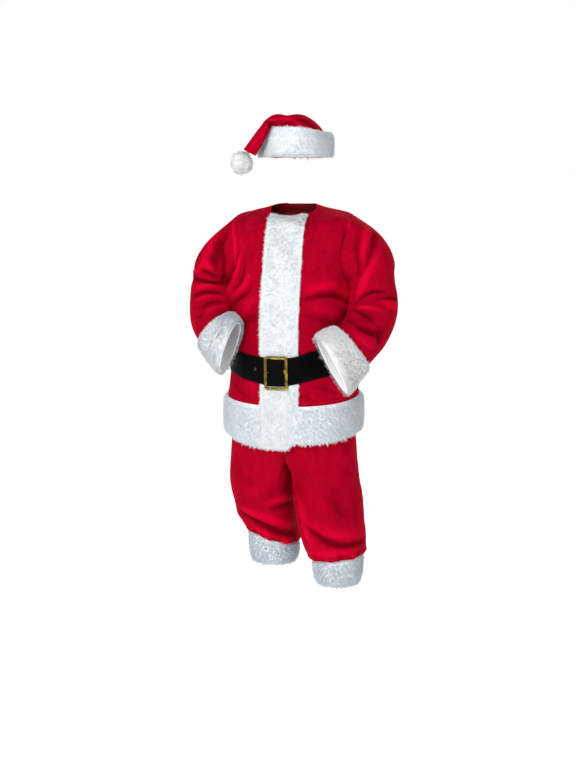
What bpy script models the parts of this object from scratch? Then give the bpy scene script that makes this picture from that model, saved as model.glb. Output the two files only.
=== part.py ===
"""Santa suit in the pose it is worn in, with nobody inside it.

A hollow jacket with fur bands and its belt, a pair of trousers with fur cuffs, and a hat with a
fur brim and a pompom. The origin is at the base of the neck, where the jacket hangs from the
shoulders. +Z is up, the front faces -Y, and left and right are the wearer's: left is +X.
Every piece is cut flat, as a grid, given its thickness and then wrapped on a form.
"""

import bmesh
import bpy
import numpy as np
from mathutils import Matrix, Vector

MM = 0.001
SEAM_GAP = 0.3 * MM
LAID_ON = 1.0 * MM  # clearance between a piece and the cloth that it lies on
PLUSH = 2.0 * MM
FUR = 14.0 * MM
FUR_EDGE = 5.0 * MM
STRAP = 3.5 * MM
TURN = 2 * np.pi
LEFT, RIGHT = 1, -1


# ---------------------------------------------------------------- tables and how they are read


def table(names, rows):
    """Named columns from a short table with one row for each section."""
    return dict(zip(names.split(), np.array(rows, float).T))


def read(stations, values, at):
    """A smooth curve through the values at the stations, read at any places."""
    slopes = np.gradient(values, stations)
    at = np.clip(at, stations[0], stations[-1])
    i = np.clip(np.searchsorted(stations, at, side="right") - 1, 0, len(stations) - 2)
    h = stations[i + 1] - stations[i]
    s = (at - stations[i]) / h
    start = (1 + 2 * s) * (1 - s) ** 2 * values[i] + s * (1 - s) ** 2 * h * slopes[i]
    end = s * s * (3 - 2 * s) * values[i + 1] + s * s * (s - 1) * h * slopes[i + 1]
    return start + end


def run_of(*coordinates):
    """Distance along a line of points, from its first point."""
    steps = np.sqrt(sum(np.diff(c) ** 2 for c in coordinates))
    return np.concatenate([[0.0], np.cumsum(steps)])


def ease(t):
    t = np.clip(t, 0.0, 1.0)
    return t * t * (3 - 2 * t)


def unit(v):
    return v / np.maximum(np.linalg.norm(v, axis=-1, keepdims=True), 1e-12)


def folds_at(folds, across, along):
    """How far the folds push a point out of the surface. A fold runs from one place to another."""
    push = np.zeros(np.broadcast(across, along).shape)
    for k in range(len(folds["depth"])):
        dx, dy = folds["to_across"][k] - folds["across"][k], folds["to_along"][k] - folds["along"][k]
        px, py = across - folds["across"][k], along - folds["along"][k]
        s = np.clip((px * dx + py * dy) / (dx * dx + dy * dy), 0.0, 1.0)
        off = np.hypot(px - s * dx, py - s * dy) / folds["width"][k]
        push = push + folds["depth"][k] * np.exp(-off * off)
    return push


def outward(surface, u, v, step=1e-4):
    """Unit normals, on the side that a rising u and then a rising v turn anticlockwise on."""
    du = surface(u + step, v) - surface(u - step, v)
    dv = surface(u, v + step) - surface(u, v - step)
    return unit(np.cross(du, dv))


# ---------------------------------------------------------------- the jacket's body

TORSO = table(
    "height middle half_width front back dip",
    [
        (-0.818, 0.000, 0.238, 0.196, 0.172, 0.036),
        (-0.760, 0.000, 0.241, 0.202, 0.174, 0.030),
        (-0.680, 0.000, 0.238, 0.208, 0.172, 0.026),
        (-0.588, 0.000, 0.227, 0.206, 0.166, 0.030),
        (-0.497, 0.000, 0.219, 0.210, 0.164, 0.030),
        (-0.420, -0.004, 0.212, 0.210, 0.162, 0.018),
        (-0.340, -0.009, 0.213, 0.198, 0.162, 0.008),
        (-0.260, -0.005, 0.2075, 0.180, 0.162, 0.006),
        (-0.190, -0.001, 0.216, 0.160, 0.160, 0.008),
        (-0.120, 0.000, 0.232, 0.140, 0.152, 0.016),
        (-0.075, 0.000, 0.236, 0.126, 0.142, 0.024),
        (-0.044, 0.000, 0.229, 0.114, 0.126, 0.032),
        (-0.026, 0.000, 0.207, 0.103, 0.110, 0.038),
        (-0.015, 0.000, 0.165, 0.091, 0.095, 0.044),
        (-0.005, 0.000, 0.120, 0.081, 0.082, 0.050),
        (0.006, 0.000, 0.082, 0.074, 0.072, 0.056),
    ],
)
TORSO["along"] = run_of(TORSO["height"], TORSO["half_width"])
SQUARENESS = 0.05
NECK = TORSO["along"][-1]



def side_level(height):
    """Distance up the side seam at a height below the armpit."""
    return np.interp(height, TORSO["height"], TORSO["along"])


HEM_TOP = side_level(-0.674)
BELT_MIDDLE = side_level(-0.544)
BELT_WIDTH = 0.095

# angle from the front in degrees and height up the side seam in metres
BODY_FOLDS = table(
    "across along to_across to_along width depth",
    [
        (68, 0.455, 16, 0.500, 0.030, -0.007),
        (66, 0.500, 22, 0.560, 0.030, 0.006),
        (58, 0.600, 52, 0.700, 0.028, 0.005),
        (-54, 0.545, -26, 0.650, 0.030, 0.007),
        (-62, 0.490, -22, 0.575, 0.030, -0.006),
        (-64, 0.430, -24, 0.490, 0.030, 0.005),
        (140, 0.400, 205, 0.420, 0.032, 0.006),
        (150, 0.465, 215, 0.480, 0.030, -0.006),
        (128, 0.520, 136, 0.680, 0.030, 0.006),
        (-128, 0.520, -138, 0.680, 0.030, 0.006),
    ],
)
BODY_RADIUS = 0.22  # turns an angle on the body into a length


def torso_plain(theta, along):
    at = {name: read(TORSO["along"], TORSO[name], along) for name in TORSO if name != "along"}
    square = 1 + SQUARENESS * np.sin(2 * theta) ** 2
    ahead = np.cos(theta)
    x = at["middle"] + at["half_width"] * np.sin(theta) * square
    y = -np.where(ahead > 0, at["front"], at["back"]) * ahead * square
    z = at["height"] - at["dip"] * ((1 + ahead) / 2) ** 2
    return np.stack([x, y, z + 0 * theta], -1)


def torso(theta, along):
    turned = (theta + np.pi) % TURN - np.pi
    behind = np.where(turned < 0, turned + TURN, turned)
    folds = dict(BODY_FOLDS)
    for end in ("across", "to_across"):
        folds[end] = np.radians(folds[end]) * BODY_RADIUS
    push = folds_at(folds, turned * BODY_RADIUS, along)
    wrapped = {k: (v if k != "depth" else v * (folds["across"] > 0)) for k, v in folds.items()}
    push = np.where(turned < 0, push + folds_at(wrapped, behind * BODY_RADIUS, along), push)
    push = push * (1 - np.exp(-(((along - BELT_MIDDLE) / 0.075) ** 4))) * ease((along - 0.14) / 0.05)
    return torso_plain(theta, along) + push[..., None] * outward(torso_plain, theta, along)


def angle_at(x, along):
    """The angle on the front of the body where the surface is x to the side of the middle."""
    half_width = read(TORSO["along"], TORSO["half_width"], along)
    x = x - read(TORSO["along"], TORSO["middle"], along)
    theta = np.arcsin(np.clip(x / half_width, -1, 1))
    for _ in range(6):
        square = 1 + SQUARENESS * np.sin(2 * theta) ** 2
        theta = np.arcsin(np.clip(x / (half_width * square), -1, 1))
    return theta


# ---------------------------------------------------------------- the sleeves

ARMHOLE_TOP, ARMHOLE_BOTTOM = 0.805, 0.560  # up the side seam
ARMHOLE_REACH = np.radians(35)  # round the body, to the front and to the back
SET_IN = PLUSH + 0.9 * MM  # the sleeve's first ring stands this far inside the armhole
STAND_OUT = PLUSH + 1.4 * MM  # and this far out of the body
CAP = 0.12  # over which the armhole's outline turns into the arm's
ARM_SECTIONS = 90
ARM_RADIUS = 0.08

ARMS = {  # the middle of the arm and the way each section faces, from the armhole to the cuff's rim
    RIGHT: table(
        "x y z half_top half_front face_x face_y face_z",
        [
            (-0.236, 0.000, -0.140, 0.112, 0.085, -0.70, 0.05, -0.70),
            (-0.265, 0.004, -0.182, 0.104, 0.088, -0.60, 0.06, -0.80),
            (-0.307, -0.012, -0.252, 0.0735, 0.084, -0.30, -0.04, -0.95),
            (-0.312, -0.033, -0.322, 0.073, 0.083, 0.00, -0.30, -0.95),
            (-0.294, -0.097, -0.394, 0.080, 0.074, 0.42, -0.55, -0.72),
            (-0.2375, -0.192, -0.434, 0.074, 0.056, 0.72, -0.30, -0.62),
            (-0.2005, -0.230, -0.462, 0.082, 0.067, 0.87, -0.14, -0.44),
            (-0.1605, -0.272, -0.489, 0.090, 0.071, 0.96, 0.00, -0.27),
        ],
    ),
    LEFT: table(
        "x y z half_top half_front face_x face_y face_z",
        [
            (0.236, 0.000, -0.140, 0.112, 0.085, 0.70, 0.00, -0.70),
            (0.271, 0.000, -0.176, 0.108, 0.088, 0.60, 0.02, -0.80),
            (0.293, -0.014, -0.262, 0.075, 0.086, 0.22, -0.06, -0.97),
            (0.302, -0.036, -0.345, 0.083, 0.086, 0.04, -0.32, -0.95),
            (0.291, -0.098, -0.420, 0.086, 0.078, -0.40, -0.55, -0.72),
            (0.254, -0.190, -0.483, 0.088, 0.067, -0.72, -0.36, -0.60),
            (0.228, -0.240, -0.510, 0.100, 0.076, -0.78, -0.36, -0.50),
            (0.205, -0.294, -0.536, 0.113, 0.078, -0.83, -0.37, -0.42),
        ],
    ),
}
CUFF_ROW = 5  # the row of the arm's table where the plush ends and the fur begins
ARM_FOLDS = {  # degrees from the top of the arm to its front, and metres down the sleeve
    RIGHT: table(
        "across along to_across to_along width depth",
        [
            (-60, 0.200, 100, 0.228, 0.030, -0.007),
            (-30, 0.275, 110, 0.295, 0.028, -0.002),
            (-60, 0.150, 70, 0.172, 0.028, 0.006),
            (0, 0.240, 130, 0.258, 0.028, 0.005),
            (-20, 0.060, 50, 0.110, 0.028, 0.005),
        ],
    ),
    LEFT: table(
        "across along to_across to_along width depth",
        [
            (-60, 0.235, 100, 0.262, 0.030, -0.007),
            (-30, 0.300, 110, 0.322, 0.028, -0.006),
            (-60, 0.185, 80, 0.210, 0.028, 0.006),
            (40, 0.060, 60, 0.150, 0.028, 0.006),
            (80, 0.100, 85, 0.200, 0.028, -0.005),
        ],
    ),
}


def armhole(side, psi, inside=0.0):
    """Points of the armhole, from its top (0) to the front (a quarter turn) and round."""
    middle, half = (ARMHOLE_TOP + ARMHOLE_BOTTOM) / 2, (ARMHOLE_TOP - ARMHOLE_BOTTOM) / 2
    reach = ARMHOLE_REACH - inside / (0.6 * BODY_RADIUS)
    theta = side * (np.pi / 2 - reach * np.sin(psi))
    return theta, middle + (half - inside) * np.cos(psi)


def arm(side):
    """The form of an arm, where its fur begins, and its length. phi runs from the underarm seam
    once round the arm, and along runs from the armhole to the rim of the cuff."""
    rows = ARMS[side]
    stations = run_of(rows["x"], rows["y"], rows["z"])
    at = np.linspace(0, stations[-1], ARM_SECTIONS)
    place = np.stack([read(stations, rows[axis], at) for axis in "xyz"], -1)
    ahead = unit(np.stack([read(stations, rows["face_" + axis], at) for axis in "xyz"], -1))
    top = np.zeros_like(place)
    held = np.array([0.0, 0.0, 1.0])
    for i in range(ARM_SECTIONS):
        held = unit(held - held.dot(ahead[i]) * ahead[i])
        top[i] = held
    front = -side * np.cross(top, ahead)
    opening = torso(*armhole(side, np.linspace(0, TURN, 48, endpoint=False)))
    middle = opening.mean(axis=0)

    def between(values, along):
        return np.stack([np.interp(along, at, values[:, i]) for i in range(3)], -1)

    def plain(phi, along):
        psi = side * (phi - np.pi)
        up = (read(stations, rows["half_top"], along) * np.cos(psi))[..., None]
        forward = (read(stations, rows["half_front"], along) * np.sin(psi))[..., None]
        oval = up * between(top, along) + forward * between(front, along)
        joined = ease(along / CAP)[..., None]
        hole = armhole(side, psi, SET_IN)
        start = torso(*hole) + STAND_OUT * outward(torso, *hole) - middle
        shift = (1 - joined) * (middle - place[0])
        return between(place, along) + shift + (1 - joined) * start + joined * oval

    folds = dict(ARM_FOLDS[side])
    for end in ("across", "to_across"):
        folds[end] = np.radians(folds[end]) * ARM_RADIUS

    def folded(phi, along):
        calm = ease(along / 0.05) * (1 - ease((along - stations[CUFF_ROW] + 0.05) / 0.05))
        push = folds_at(folds, side * (phi - np.pi) * ARM_RADIUS, along) * calm
        return plain(phi, along) + push[..., None] * outward(plain, phi, along)

    return folded, stations[CUFF_ROW], stations[-1]


# ---------------------------------------------------------------- the trousers

FORK = -0.965
FORK_TOP = FORK + 0.100  # where the seam under the fork has come up to the front and the back
FORK_SHARE = 0.16  # of the way round a leg, that the seam under the fork takes up

HIPS = table(  # one section for both legs
    "height half_width front back",
    [
        (-1.100, 0.244, 0.126, 0.138),
        (-0.965, 0.238, 0.132, 0.140),
        (-0.930, 0.235, 0.140, 0.144),
        (-0.880, 0.232, 0.156, 0.150),
        (-0.800, 0.226, 0.172, 0.152),
        (-0.700, 0.220, 0.182, 0.148),
        (-0.600, 0.204, 0.184, 0.140),
        (-0.500, 0.190, 0.180, 0.134),
    ],
)
LEGS = {
    RIGHT: table(
        "height x y half_width half_depth",
        [
            (-1.242, -0.090, 0.048, 0.083, 0.083),
            (-1.237, -0.090, 0.048, 0.095, 0.100),
            (-1.216, -0.096, 0.047, 0.104, 0.112),
            (-1.175, -0.108, 0.044, 0.112, 0.120),
            (-1.120, -0.115, 0.034, 0.112, 0.126),
            (-1.040, -0.121, 0.016, 0.118, 0.130),
            (-0.965, -0.1224, 0.004, 0.1200, 0.134),
            (-0.880, -0.1224, 0.000, 0.1200, 0.140),
        ],
    ),
    LEFT: table(
        "height x y half_width half_depth",
        [
            (-1.262, 0.190, -0.082, 0.081, 0.081),
            (-1.257, 0.188, -0.082, 0.101, 0.101),
            (-1.234, 0.180, -0.078, 0.112, 0.112),
            (-1.190, 0.166, -0.066, 0.116, 0.118),
            (-1.120, 0.150, -0.046, 0.121, 0.126),
            (-1.040, 0.134, -0.020, 0.125, 0.130),
            (-0.965, 0.1224, 0.004, 0.1200, 0.134),
            (-0.880, 0.1224, 0.000, 0.1200, 0.140),
        ],
    ),
}
GATHERS = 8  # round each leg, where its elastic draws it in
LEG_FOLDS = {  # degrees round the leg from the inside seam, over the front; height
    RIGHT: table(
        "across along to_across to_along width depth",
        [
            (60, -1.000, 120, -1.060, 0.030, -0.007),
            (40, -1.160, 130, -1.130, 0.026, 0.007),
            (60, -1.205, 150, -1.185, 0.024, -0.007),
            (220, -1.020, 290, -1.060, 0.030, -0.007),
            (210, -1.150, 300, -1.120, 0.026, 0.007),
        ],
    ),
    LEFT: table(
        "across along to_across to_along width depth",
        [
            (50, -0.990, 110, -1.070, 0.030, -0.007),
            (40, -1.150, 120, -1.190, 0.026, -0.008),
            (60, -1.120, 150, -1.145, 0.024, 0.007),
            (220, -1.020, 290, -1.050, 0.030, -0.007),
            (200, -1.170, 290, -1.140, 0.026, 0.007),
        ],
    ),
}
LEG_RADIUS = 0.12
LEANS = {RIGHT: -0.20, LEFT: 0.13}  # how the foot of each leg slopes, across the body
INNER_LEG = 2.4 * MM  # from the middle to the inner face of each leg, under the fork


def leg(side):
    """The form of one half of the trousers, and the height of its foot. round_it runs from 0 at
    the inside seam or the middle of the front, over 0.5 at the side seam, to 1 behind."""
    rows = LEGS[side]

    def ring(round_it, height):
        angle = TURN * round_it
        x, y, wide, deep = (
            read(rows["height"], rows[n], height) for n in ("x", "y", "half_width", "half_depth")
        )
        square = 1 + 0.04 * np.sin(2 * angle) ** 2
        return x - side * wide * np.cos(angle) * square, y - deep * np.sin(angle) * square

    def hips(round_it, height):
        wide, front, back = (
            read(HIPS["height"], HIPS[n], height) for n in ("half_width", "front", "back")
        )
        past = np.clip((round_it - FORK_SHARE) / (1 - 2 * FORK_SHARE), 0, 1)
        theta = np.pi * past
        square = 1 + 0.05 * np.sin(2 * theta) ** 2
        x = side * (wide * np.sin(theta) * square + INNER_LEG * (1 - np.sin(theta)))
        y = -np.where(np.cos(theta) > 0, front, back) * np.cos(theta) * square
        under = np.clip(np.minimum(round_it, 1 - round_it) / FORK_SHARE, 0, 1)
        return x, np.where((past == 0) | (past == 1), y * under, y)

    def plain(round_it, height):
        leg_x, leg_y = ring(round_it, height)
        hip_x, hip_y = hips(round_it, height)
        w = ease((height - FORK + 0.12) / (FORK_TOP - FORK + 0.12))
        begin = seam_start(height)
        start_x = (1 - w) * ring(begin, height)[0] + w * side * INNER_LEG
        closing = ease((height - FORK) / (FORK_TOP - FORK))
        wanted = side * (INNER_LEG + (0.2 * MM - INNER_LEG) * closing)
        near = np.minimum(round_it, 1 - round_it)
        t = np.clip((near - begin) / (0.5 - begin), 0, 1)
        pull = np.where(height > FORK, (wanted - start_x) * (1 - t) ** 3, 0.0)
        x = (1 - w) * leg_x + w * hip_x + pull
        y = (1 - w) * leg_y + w * hip_y
        low = np.exp(-(((height - foot) / 0.07) ** 2))
        return np.stack([x, y, height + LEANS[side] * (x - rows["x"][0]) * low], -1)

    foot = rows["height"][0]
    folds = dict(LEG_FOLDS[side])
    for end in ("across", "to_across"):
        folds[end] = np.radians(folds[end]) * LEG_RADIUS

    def folded(round_it, height):
        push = folds_at(folds, TURN * round_it * LEG_RADIUS, height)
        low = np.exp(-((height - foot - 0.012) / 0.030) ** 2)
        inside = ease(np.minimum(round_it, 1 - round_it) / 0.10)
        push = push * inside * (1 - ease((height + 0.96) / 0.06))
        push = push + 0.004 * np.cos(TURN * GATHERS * round_it) * low * inside
        out = side * outward(plain, round_it, height)
        return plain(round_it, height) + push[..., None] * out

    return folded, foot


def seam_start(height):
    """How far round the leg its inner edge lies, once the edge follows the seam under the fork."""
    t = np.clip((height - FORK) / (FORK_TOP - FORK), 0, 1)
    return FORK_SHARE * np.sin(np.pi / 2 * t)


# ---------------------------------------------------------------- the hat

HAT = table(  # the sides of the sections that the hat goes through, from the brim to the pompom
    "low_x low_z high_x high_z half_depth y",
    [
        (-0.113, 0.182, 0.125, 0.182, 0.124, 0.000),
        (-0.113, 0.212, 0.124, 0.212, 0.123, 0.000),
        (-0.106, 0.240, 0.112, 0.243, 0.114, -0.002),
        (-0.101, 0.260, 0.088, 0.279, 0.104, -0.010),
        (-0.100, 0.268, 0.064, 0.300, 0.094, -0.024),
        (-0.098, 0.272, 0.036, 0.312, 0.082, -0.045),
        (-0.093, 0.273, 0.002, 0.306, 0.067, -0.070),
        (-0.080, 0.271, -0.034, 0.311, 0.049, -0.097),
        (-0.060, 0.266, -0.062, 0.294, 0.030, -0.125),
        (-0.068, 0.230, -0.083, 0.266, 0.021, -0.143),
        (-0.086, 0.196, -0.114, 0.226, 0.018, -0.148),
        (-0.104, 0.170, -0.143, 0.190, 0.015, -0.145),
    ],
)
HAT["along"] = run_of((HAT["low_x"] + HAT["high_x"]) / 2, (HAT["low_z"] + HAT["high_z"]) / 2,
                      HAT["half_depth"])
HAT_FOLDS = table(
    "across along to_across to_along width depth",
    [
        (90, 0.070, 150, 0.150, 0.022, -0.007),
        (60, 0.120, 130, 0.190, 0.020, 0.006),
        (-80, 0.080, -150, 0.150, 0.022, -0.006),
    ],
)
POMPOM_AT = (-0.155, -0.137, 0.145)
POMPOM_RADIUS = 0.040


def hat_plain(phi, along):
    """phi runs from the wearer's right over the front to the wearer's left and round the back."""
    at = {name: read(HAT["along"], HAT[name], along) for name in HAT if name != "along"}
    across = (1 - np.cos(phi)) / 2
    x = at["low_x"] + (at["high_x"] - at["low_x"]) * across
    z = at["low_z"] + (at["high_z"] - at["low_z"]) * across
    y = at["y"] - at["half_depth"] * np.sin(phi)
    return np.stack([x, y, z], -1)


def hat(phi, along):
    turned = (phi + np.pi) % TURN - np.pi
    folds = dict(HAT_FOLDS)
    for end in ("across", "to_across"):
        folds[end] = np.radians(folds[end]) * 0.1
    push = folds_at(folds, turned * 0.1, along)
    return hat_plain(phi, along) + push[..., None] * outward(hat_plain, phi, along)


# ---------------------------------------------------------------- making solids


def material(name, colour, roughness, metallic=0.0):
    made = bpy.data.materials.new(name)
    made.use_nodes = True
    shader = made.node_tree.nodes["Principled BSDF"]
    shader.inputs["Base Color"].default_value = (*colour, 1.0)
    shader.inputs["Roughness"].default_value = roughness
    shader.inputs["Metallic"].default_value = metallic
    return made


def finish(name, mesh, finish_of):
    made = bpy.data.objects.new(name, mesh)
    suit.objects.link(made)
    made.data.materials.append(finish_of)
    made.data.shade_smooth()
    return made


def cut_and_wrap(name, surface, us, vs, thickness, finish_of, lift=0.0, beside=0, facing=1):
    """A piece cut as a flat grid, thickened, and wrapped on a surface. us and vs say where each
    of the grid's points goes; the inner side is lifted off the surface, the outer side by the
    thickness more. facing is -1 for a surface that runs the other way round. Beside the middle
    plane, a piece keeps to its own side of it."""
    us, vs = np.broadcast_arrays(us, vs)
    rows, columns = us.shape
    out = facing * outward(surface, us, vs)
    inner = surface(us, vs) + out * lift
    outer = inner + out * np.broadcast_to(thickness, us.shape)[..., None]
    if beside:
        for points in (inner, outer):
            kept = beside * np.maximum(beside * points[..., 0], HALF_GAP)
            points[..., 0] = np.where(points[..., 2] > FORK - 0.05, kept, points[..., 0])
    work = bmesh.new()
    bmesh.ops.create_grid(work, x_segments=columns - 1, y_segments=rows - 1, size=0.5)
    thick = bmesh.ops.extrude_face_region(work, geom=work.faces[:], use_keep_orig=True)["geom"]
    raised = [v for v in thick if isinstance(v, bmesh.types.BMVert)]
    bmesh.ops.translate(work, vec=(0, 0, 1), verts=raised)
    bmesh.ops.recalc_face_normals(work, faces=work.faces[:])
    for v in work.verts:
        row, column = round((v.co.y + 0.5) * (rows - 1)), round((v.co.x + 0.5) * (columns - 1))
        v.co = Vector((outer if v.co.z > 0.5 else inner)[row, column])
    if work.calc_volume(signed=True) < 0:
        bmesh.ops.reverse_faces(work, faces=work.faces[:])
    mesh = bpy.data.meshes.new(name)
    work.to_mesh(mesh)
    work.free()
    return finish(name, mesh, finish_of)


# ---------------------------------------------------------------- the pieces

for old in list(bpy.data.objects):
    bpy.data.objects.remove(old, do_unlink=True)
suit = bpy.data.collections.new("santa_suit")
bpy.context.scene.collection.children.link(suit)

red = material("red_plush", (0.42, 0.010, 0.014), 0.85)
white = material("white_fur", (0.86, 0.85, 0.82), 0.95)
black = material("black_strap", (0.012, 0.012, 0.013), 0.45)
brass = material("aged_brass", (0.46, 0.36, 0.17), 0.38, 1.0)
elastic = material("elastic_casing", (0.30, 0.008, 0.012), 0.9)

HALF_GAP = 0.2 * MM  # half of a seam, on each piece
SIDE_RADIUS = 0.13  # how round the body is at its side seams
BAND_HALF_WIDTH = 0.0665
BAND_MIDDLE = -0.002
PANEL_FOOT = 0.010  # the panels end inside the fur of the hem
ARMHOLE_ROWS = 9


def fur_profile(across, ends=(True, True)):
    """Fur's thickness across a band, thinner at its edges."""
    edge = np.full(across.shape, 1.0)
    if ends[0]:
        edge = edge * ease(0.15 + across / 0.16)
    if ends[1]:
        edge = edge * ease(0.15 + (1 - across) / 0.16)
    return FUR_EDGE + (FUR - FUR_EDGE) * edge


# the jacket's body: two fronts and a back, with the armholes cut out of their side edges
psi_rows = np.linspace(np.pi, 0, ARMHOLE_ROWS + 1)
_, armhole_rows = armhole(LEFT, psi_rows)
below = np.concatenate([
    np.linspace(PANEL_FOOT, HEM_TOP, 4), np.linspace(HEM_TOP, ARMHOLE_BOTTOM, 9)[1:-1]
])
above = np.linspace(ARMHOLE_TOP, NECK, 4)[1:]
body_rows = np.concatenate([below, armhole_rows, above])
reach_rows = np.concatenate([0 * below, ARMHOLE_REACH * np.sin(psi_rows), 0 * above])
side_gap = HALF_GAP / SIDE_RADIUS


def band_edge(side, rows):
    return angle_at(BAND_MIDDLE + side * BAND_HALF_WIDTH, rows)


def front_columns(side, rows, reach):
    """Angles across a front: its edge, two columns under the fur band, and on to the side seam."""
    inner = angle_at(side * HALF_GAP, rows)[:, None]
    band = band_edge(side, rows)[:, None]
    share = np.linspace(0, 1, 7)
    out = band + (side * (np.pi / 2 - side_gap) - band) * share
    return np.concatenate([inner, (inner + band) / 2, out - side * reach[:, None] * share**2], axis=1)


def back_columns(rows, reach):
    share = np.linspace(-1, 1, 15)
    cut_away = reach[:, None] * share * np.abs(share)
    return np.pi + (np.pi / 2 - side_gap) * share - cut_away


front_left = front_columns(LEFT, body_rows, reach_rows)
front_right = front_columns(RIGHT, body_rows, reach_rows)
cut_and_wrap("jacket_front_left", torso, front_left, body_rows[:, None], PLUSH, red)
cut_and_wrap("jacket_front_right", torso, front_right[:, ::-1], body_rows[:, None], PLUSH, red)
cut_and_wrap("jacket_back", torso, back_columns(body_rows, reach_rows), body_rows[:, None], PLUSH, red)

# the sleeves and their cuffs of fur
ring = TURN / 2 + np.concatenate([-psi_rows, psi_rows[::-1][1:]])
SLEEVE_RADIUS = 0.07  # how round the arm is at its seam, underneath
seam = HALF_GAP / SLEEVE_RADIUS
ring[0], ring[-1] = seam, TURN - seam
for side, name in ((LEFT, "left"), (RIGHT, "right")):
    form, plush_end, fur_end = arm(side)
    rows = np.concatenate([[0, 0.02, 0.045], np.linspace(0.07, plush_end, 16)])
    cut_and_wrap(f"sleeve_{name}", form, ring, rows[:, None], PLUSH, red)
    fur_rows = np.linspace(plush_end + 1.5 * MM, fur_end, 5)
    across = np.linspace(0, 1, 5)[:, None]
    cut_and_wrap(f"cuff_{name}", form, ring, fur_rows[:, None], fur_profile(across), white)

# the fur down the front and round the hem, laid on the columns of the plush
SQUEEZED = 0.62  # the share of the fur's thickness that the belt takes
belt_rows = BELT_MIDDLE + np.array([-0.080, -0.056, -0.025, 0.025, 0.060, 0.084])
free = body_rows[(body_rows < belt_rows[0] - 0.01) | (body_rows > belt_rows[-1] + 0.01)]
band_rows = np.sort(np.concatenate([[0.0], free[:-1], belt_rows, [NECK - 0.01]]))
no_reach = np.zeros(len(band_rows))
under_belt = ((band_rows > BELT_MIDDLE - 0.07) & (band_rows < BELT_MIDDLE + 0.07)).astype(float)
left_half = front_columns(LEFT, band_rows, no_reach)[:, :3]
right_half = front_columns(RIGHT, band_rows, no_reach)[:, :3]
band_middle = angle_at(0.0, band_rows)[:, None]
band_theta = np.concatenate([right_half[:, :0:-1], band_middle, left_half[:, 1:]], axis=1)
band_fur = fur_profile(np.linspace(0, 1, 5))[None, :] * (1 - SQUEEZED * under_belt[:, None])
cut_and_wrap("front_band", torso, band_theta, band_rows[:, None], band_fur, white, PLUSH + LAID_ON)

hem_rows = np.concatenate([[0.0, 0.025], below[1:3], [HEM_TOP - 0.022, HEM_TOP]])
no_reach = np.zeros(len(hem_rows))
BAND_CLEAR = 0.8 * MM  # between the ends of the hem's fur and the front band
clear = BAND_CLEAR / BODY_RADIUS
left_side = front_columns(LEFT, hem_rows, no_reach)[:, 2:]
right_side = front_columns(RIGHT, hem_rows, no_reach)[:, :1:-1] + TURN
hem_theta = np.concatenate([left_side, back_columns(hem_rows, no_reach)[:, 1:-1], right_side], axis=1)
hem_theta[:, 0] += clear
hem_theta[:, -1] -= clear
hem_fur = fur_profile((hem_rows - hem_rows[0]) / HEM_TOP)[:, None]
cut_and_wrap("hem_band", torso, hem_theta, hem_rows[:, None], hem_fur, white, PLUSH + LAID_ON)

# the belt: one strap, from behind the buckle round the body and over its own first end
TAIL = 0.62  # radians of overlap
OVERLAP_RISE = 0.40  # radians over which the strap climbs on to its own first end
FUR_BENDS = 0.40  # radians each side of the middle, where the strap stands on the fur
ON_FUR = 0.38 * FUR + 2.2 * MM  # how far the squeezed fur lifts it there
BELT_RISE = table(  # degrees round the body, and how far the strap's edges climb there
    "across bottom top",
    [
        (-180, 0.020, 0.020), (-90, 0.020, 0.012), (-45, 0.012, 0.004), (-20, 0.002, 0.000),
        (0, 0.000, 0.000), (14, 0.003, 0.004), (32, 0.016, 0.020), (60, 0.026, 0.027),
        (90, 0.028, 0.026), (180, 0.020, 0.020),
    ],
)
at_belt, no_reach = np.array([BELT_MIDDLE]), np.zeros(1)
front_half = front_columns(LEFT, at_belt, no_reach)[0]
other_half = front_columns(RIGHT, at_belt, no_reach)[0]
behind = back_columns(at_belt, no_reach)[0, 1:-1]
strap_theta = np.concatenate([
    [front_half[1] / 2], other_half, behind[::-1] - TURN, front_half[::-1] - TURN, other_half[1:5] - TURN
])
over = ease((-strap_theta - (TURN - TAIL)) / OVERLAP_RISE)
front_turn = (strap_theta + np.pi) % TURN - np.pi
on_fur = np.exp(-((front_turn / FUR_BENDS) ** 4))
strap_lift = PLUSH + LAID_ON + on_fur * ON_FUR + over * (STRAP + LAID_ON)
strap_share = np.linspace(-0.5, 0.5, 3)


def strap_form(turned, share):
    """share runs across the strap, from its lower edge (-0.5) to its upper edge (0.5)."""
    degrees = np.degrees((turned + np.pi) % TURN - np.pi)
    low, high = (read(BELT_RISE["across"], BELT_RISE[n], degrees) for n in ("bottom", "top"))
    along = BELT_MIDDLE + BELT_WIDTH * share + low + (high - low) * (share + 0.5)
    lift = np.interp(-turned, -strap_theta, strap_lift)
    return torso_plain(turned, along) + lift[..., None] * outward(torso_plain, turned, along)


cut_and_wrap("belt_strap", strap_form, strap_theta[None, :], strap_share[:, None], STRAP, black)

# the buckle: a frame in front of the strap, the loop of its prong on one bar, the tip on the other
BUCKLE_WIDTH, BUCKLE_HEIGHT, BAR, BAR_DEPTH = 0.085, 0.120, 0.0095, 0.004
BUCKLE_SIDE = np.radians(-2)  # round the body from the middle of the front
seat = strap_form(np.array([BUCKLE_SIDE - TURN]), np.array([0.0]))[0]
face = outward(torso_plain, np.array([BUCKLE_SIDE]), np.array([BELT_MIDDLE]))[0]
rise = unit(np.array([0.0, 0.0, 1.0]) - face[2] * face)
along_bar = np.cross(rise, face)


def on_buckle(across, up, out):
    return Vector(seat + across * along_bar + up * rise + (STRAP + out) * face)


buckle_frame = Matrix((along_bar, rise, face)).transposed().to_4x4()


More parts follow.
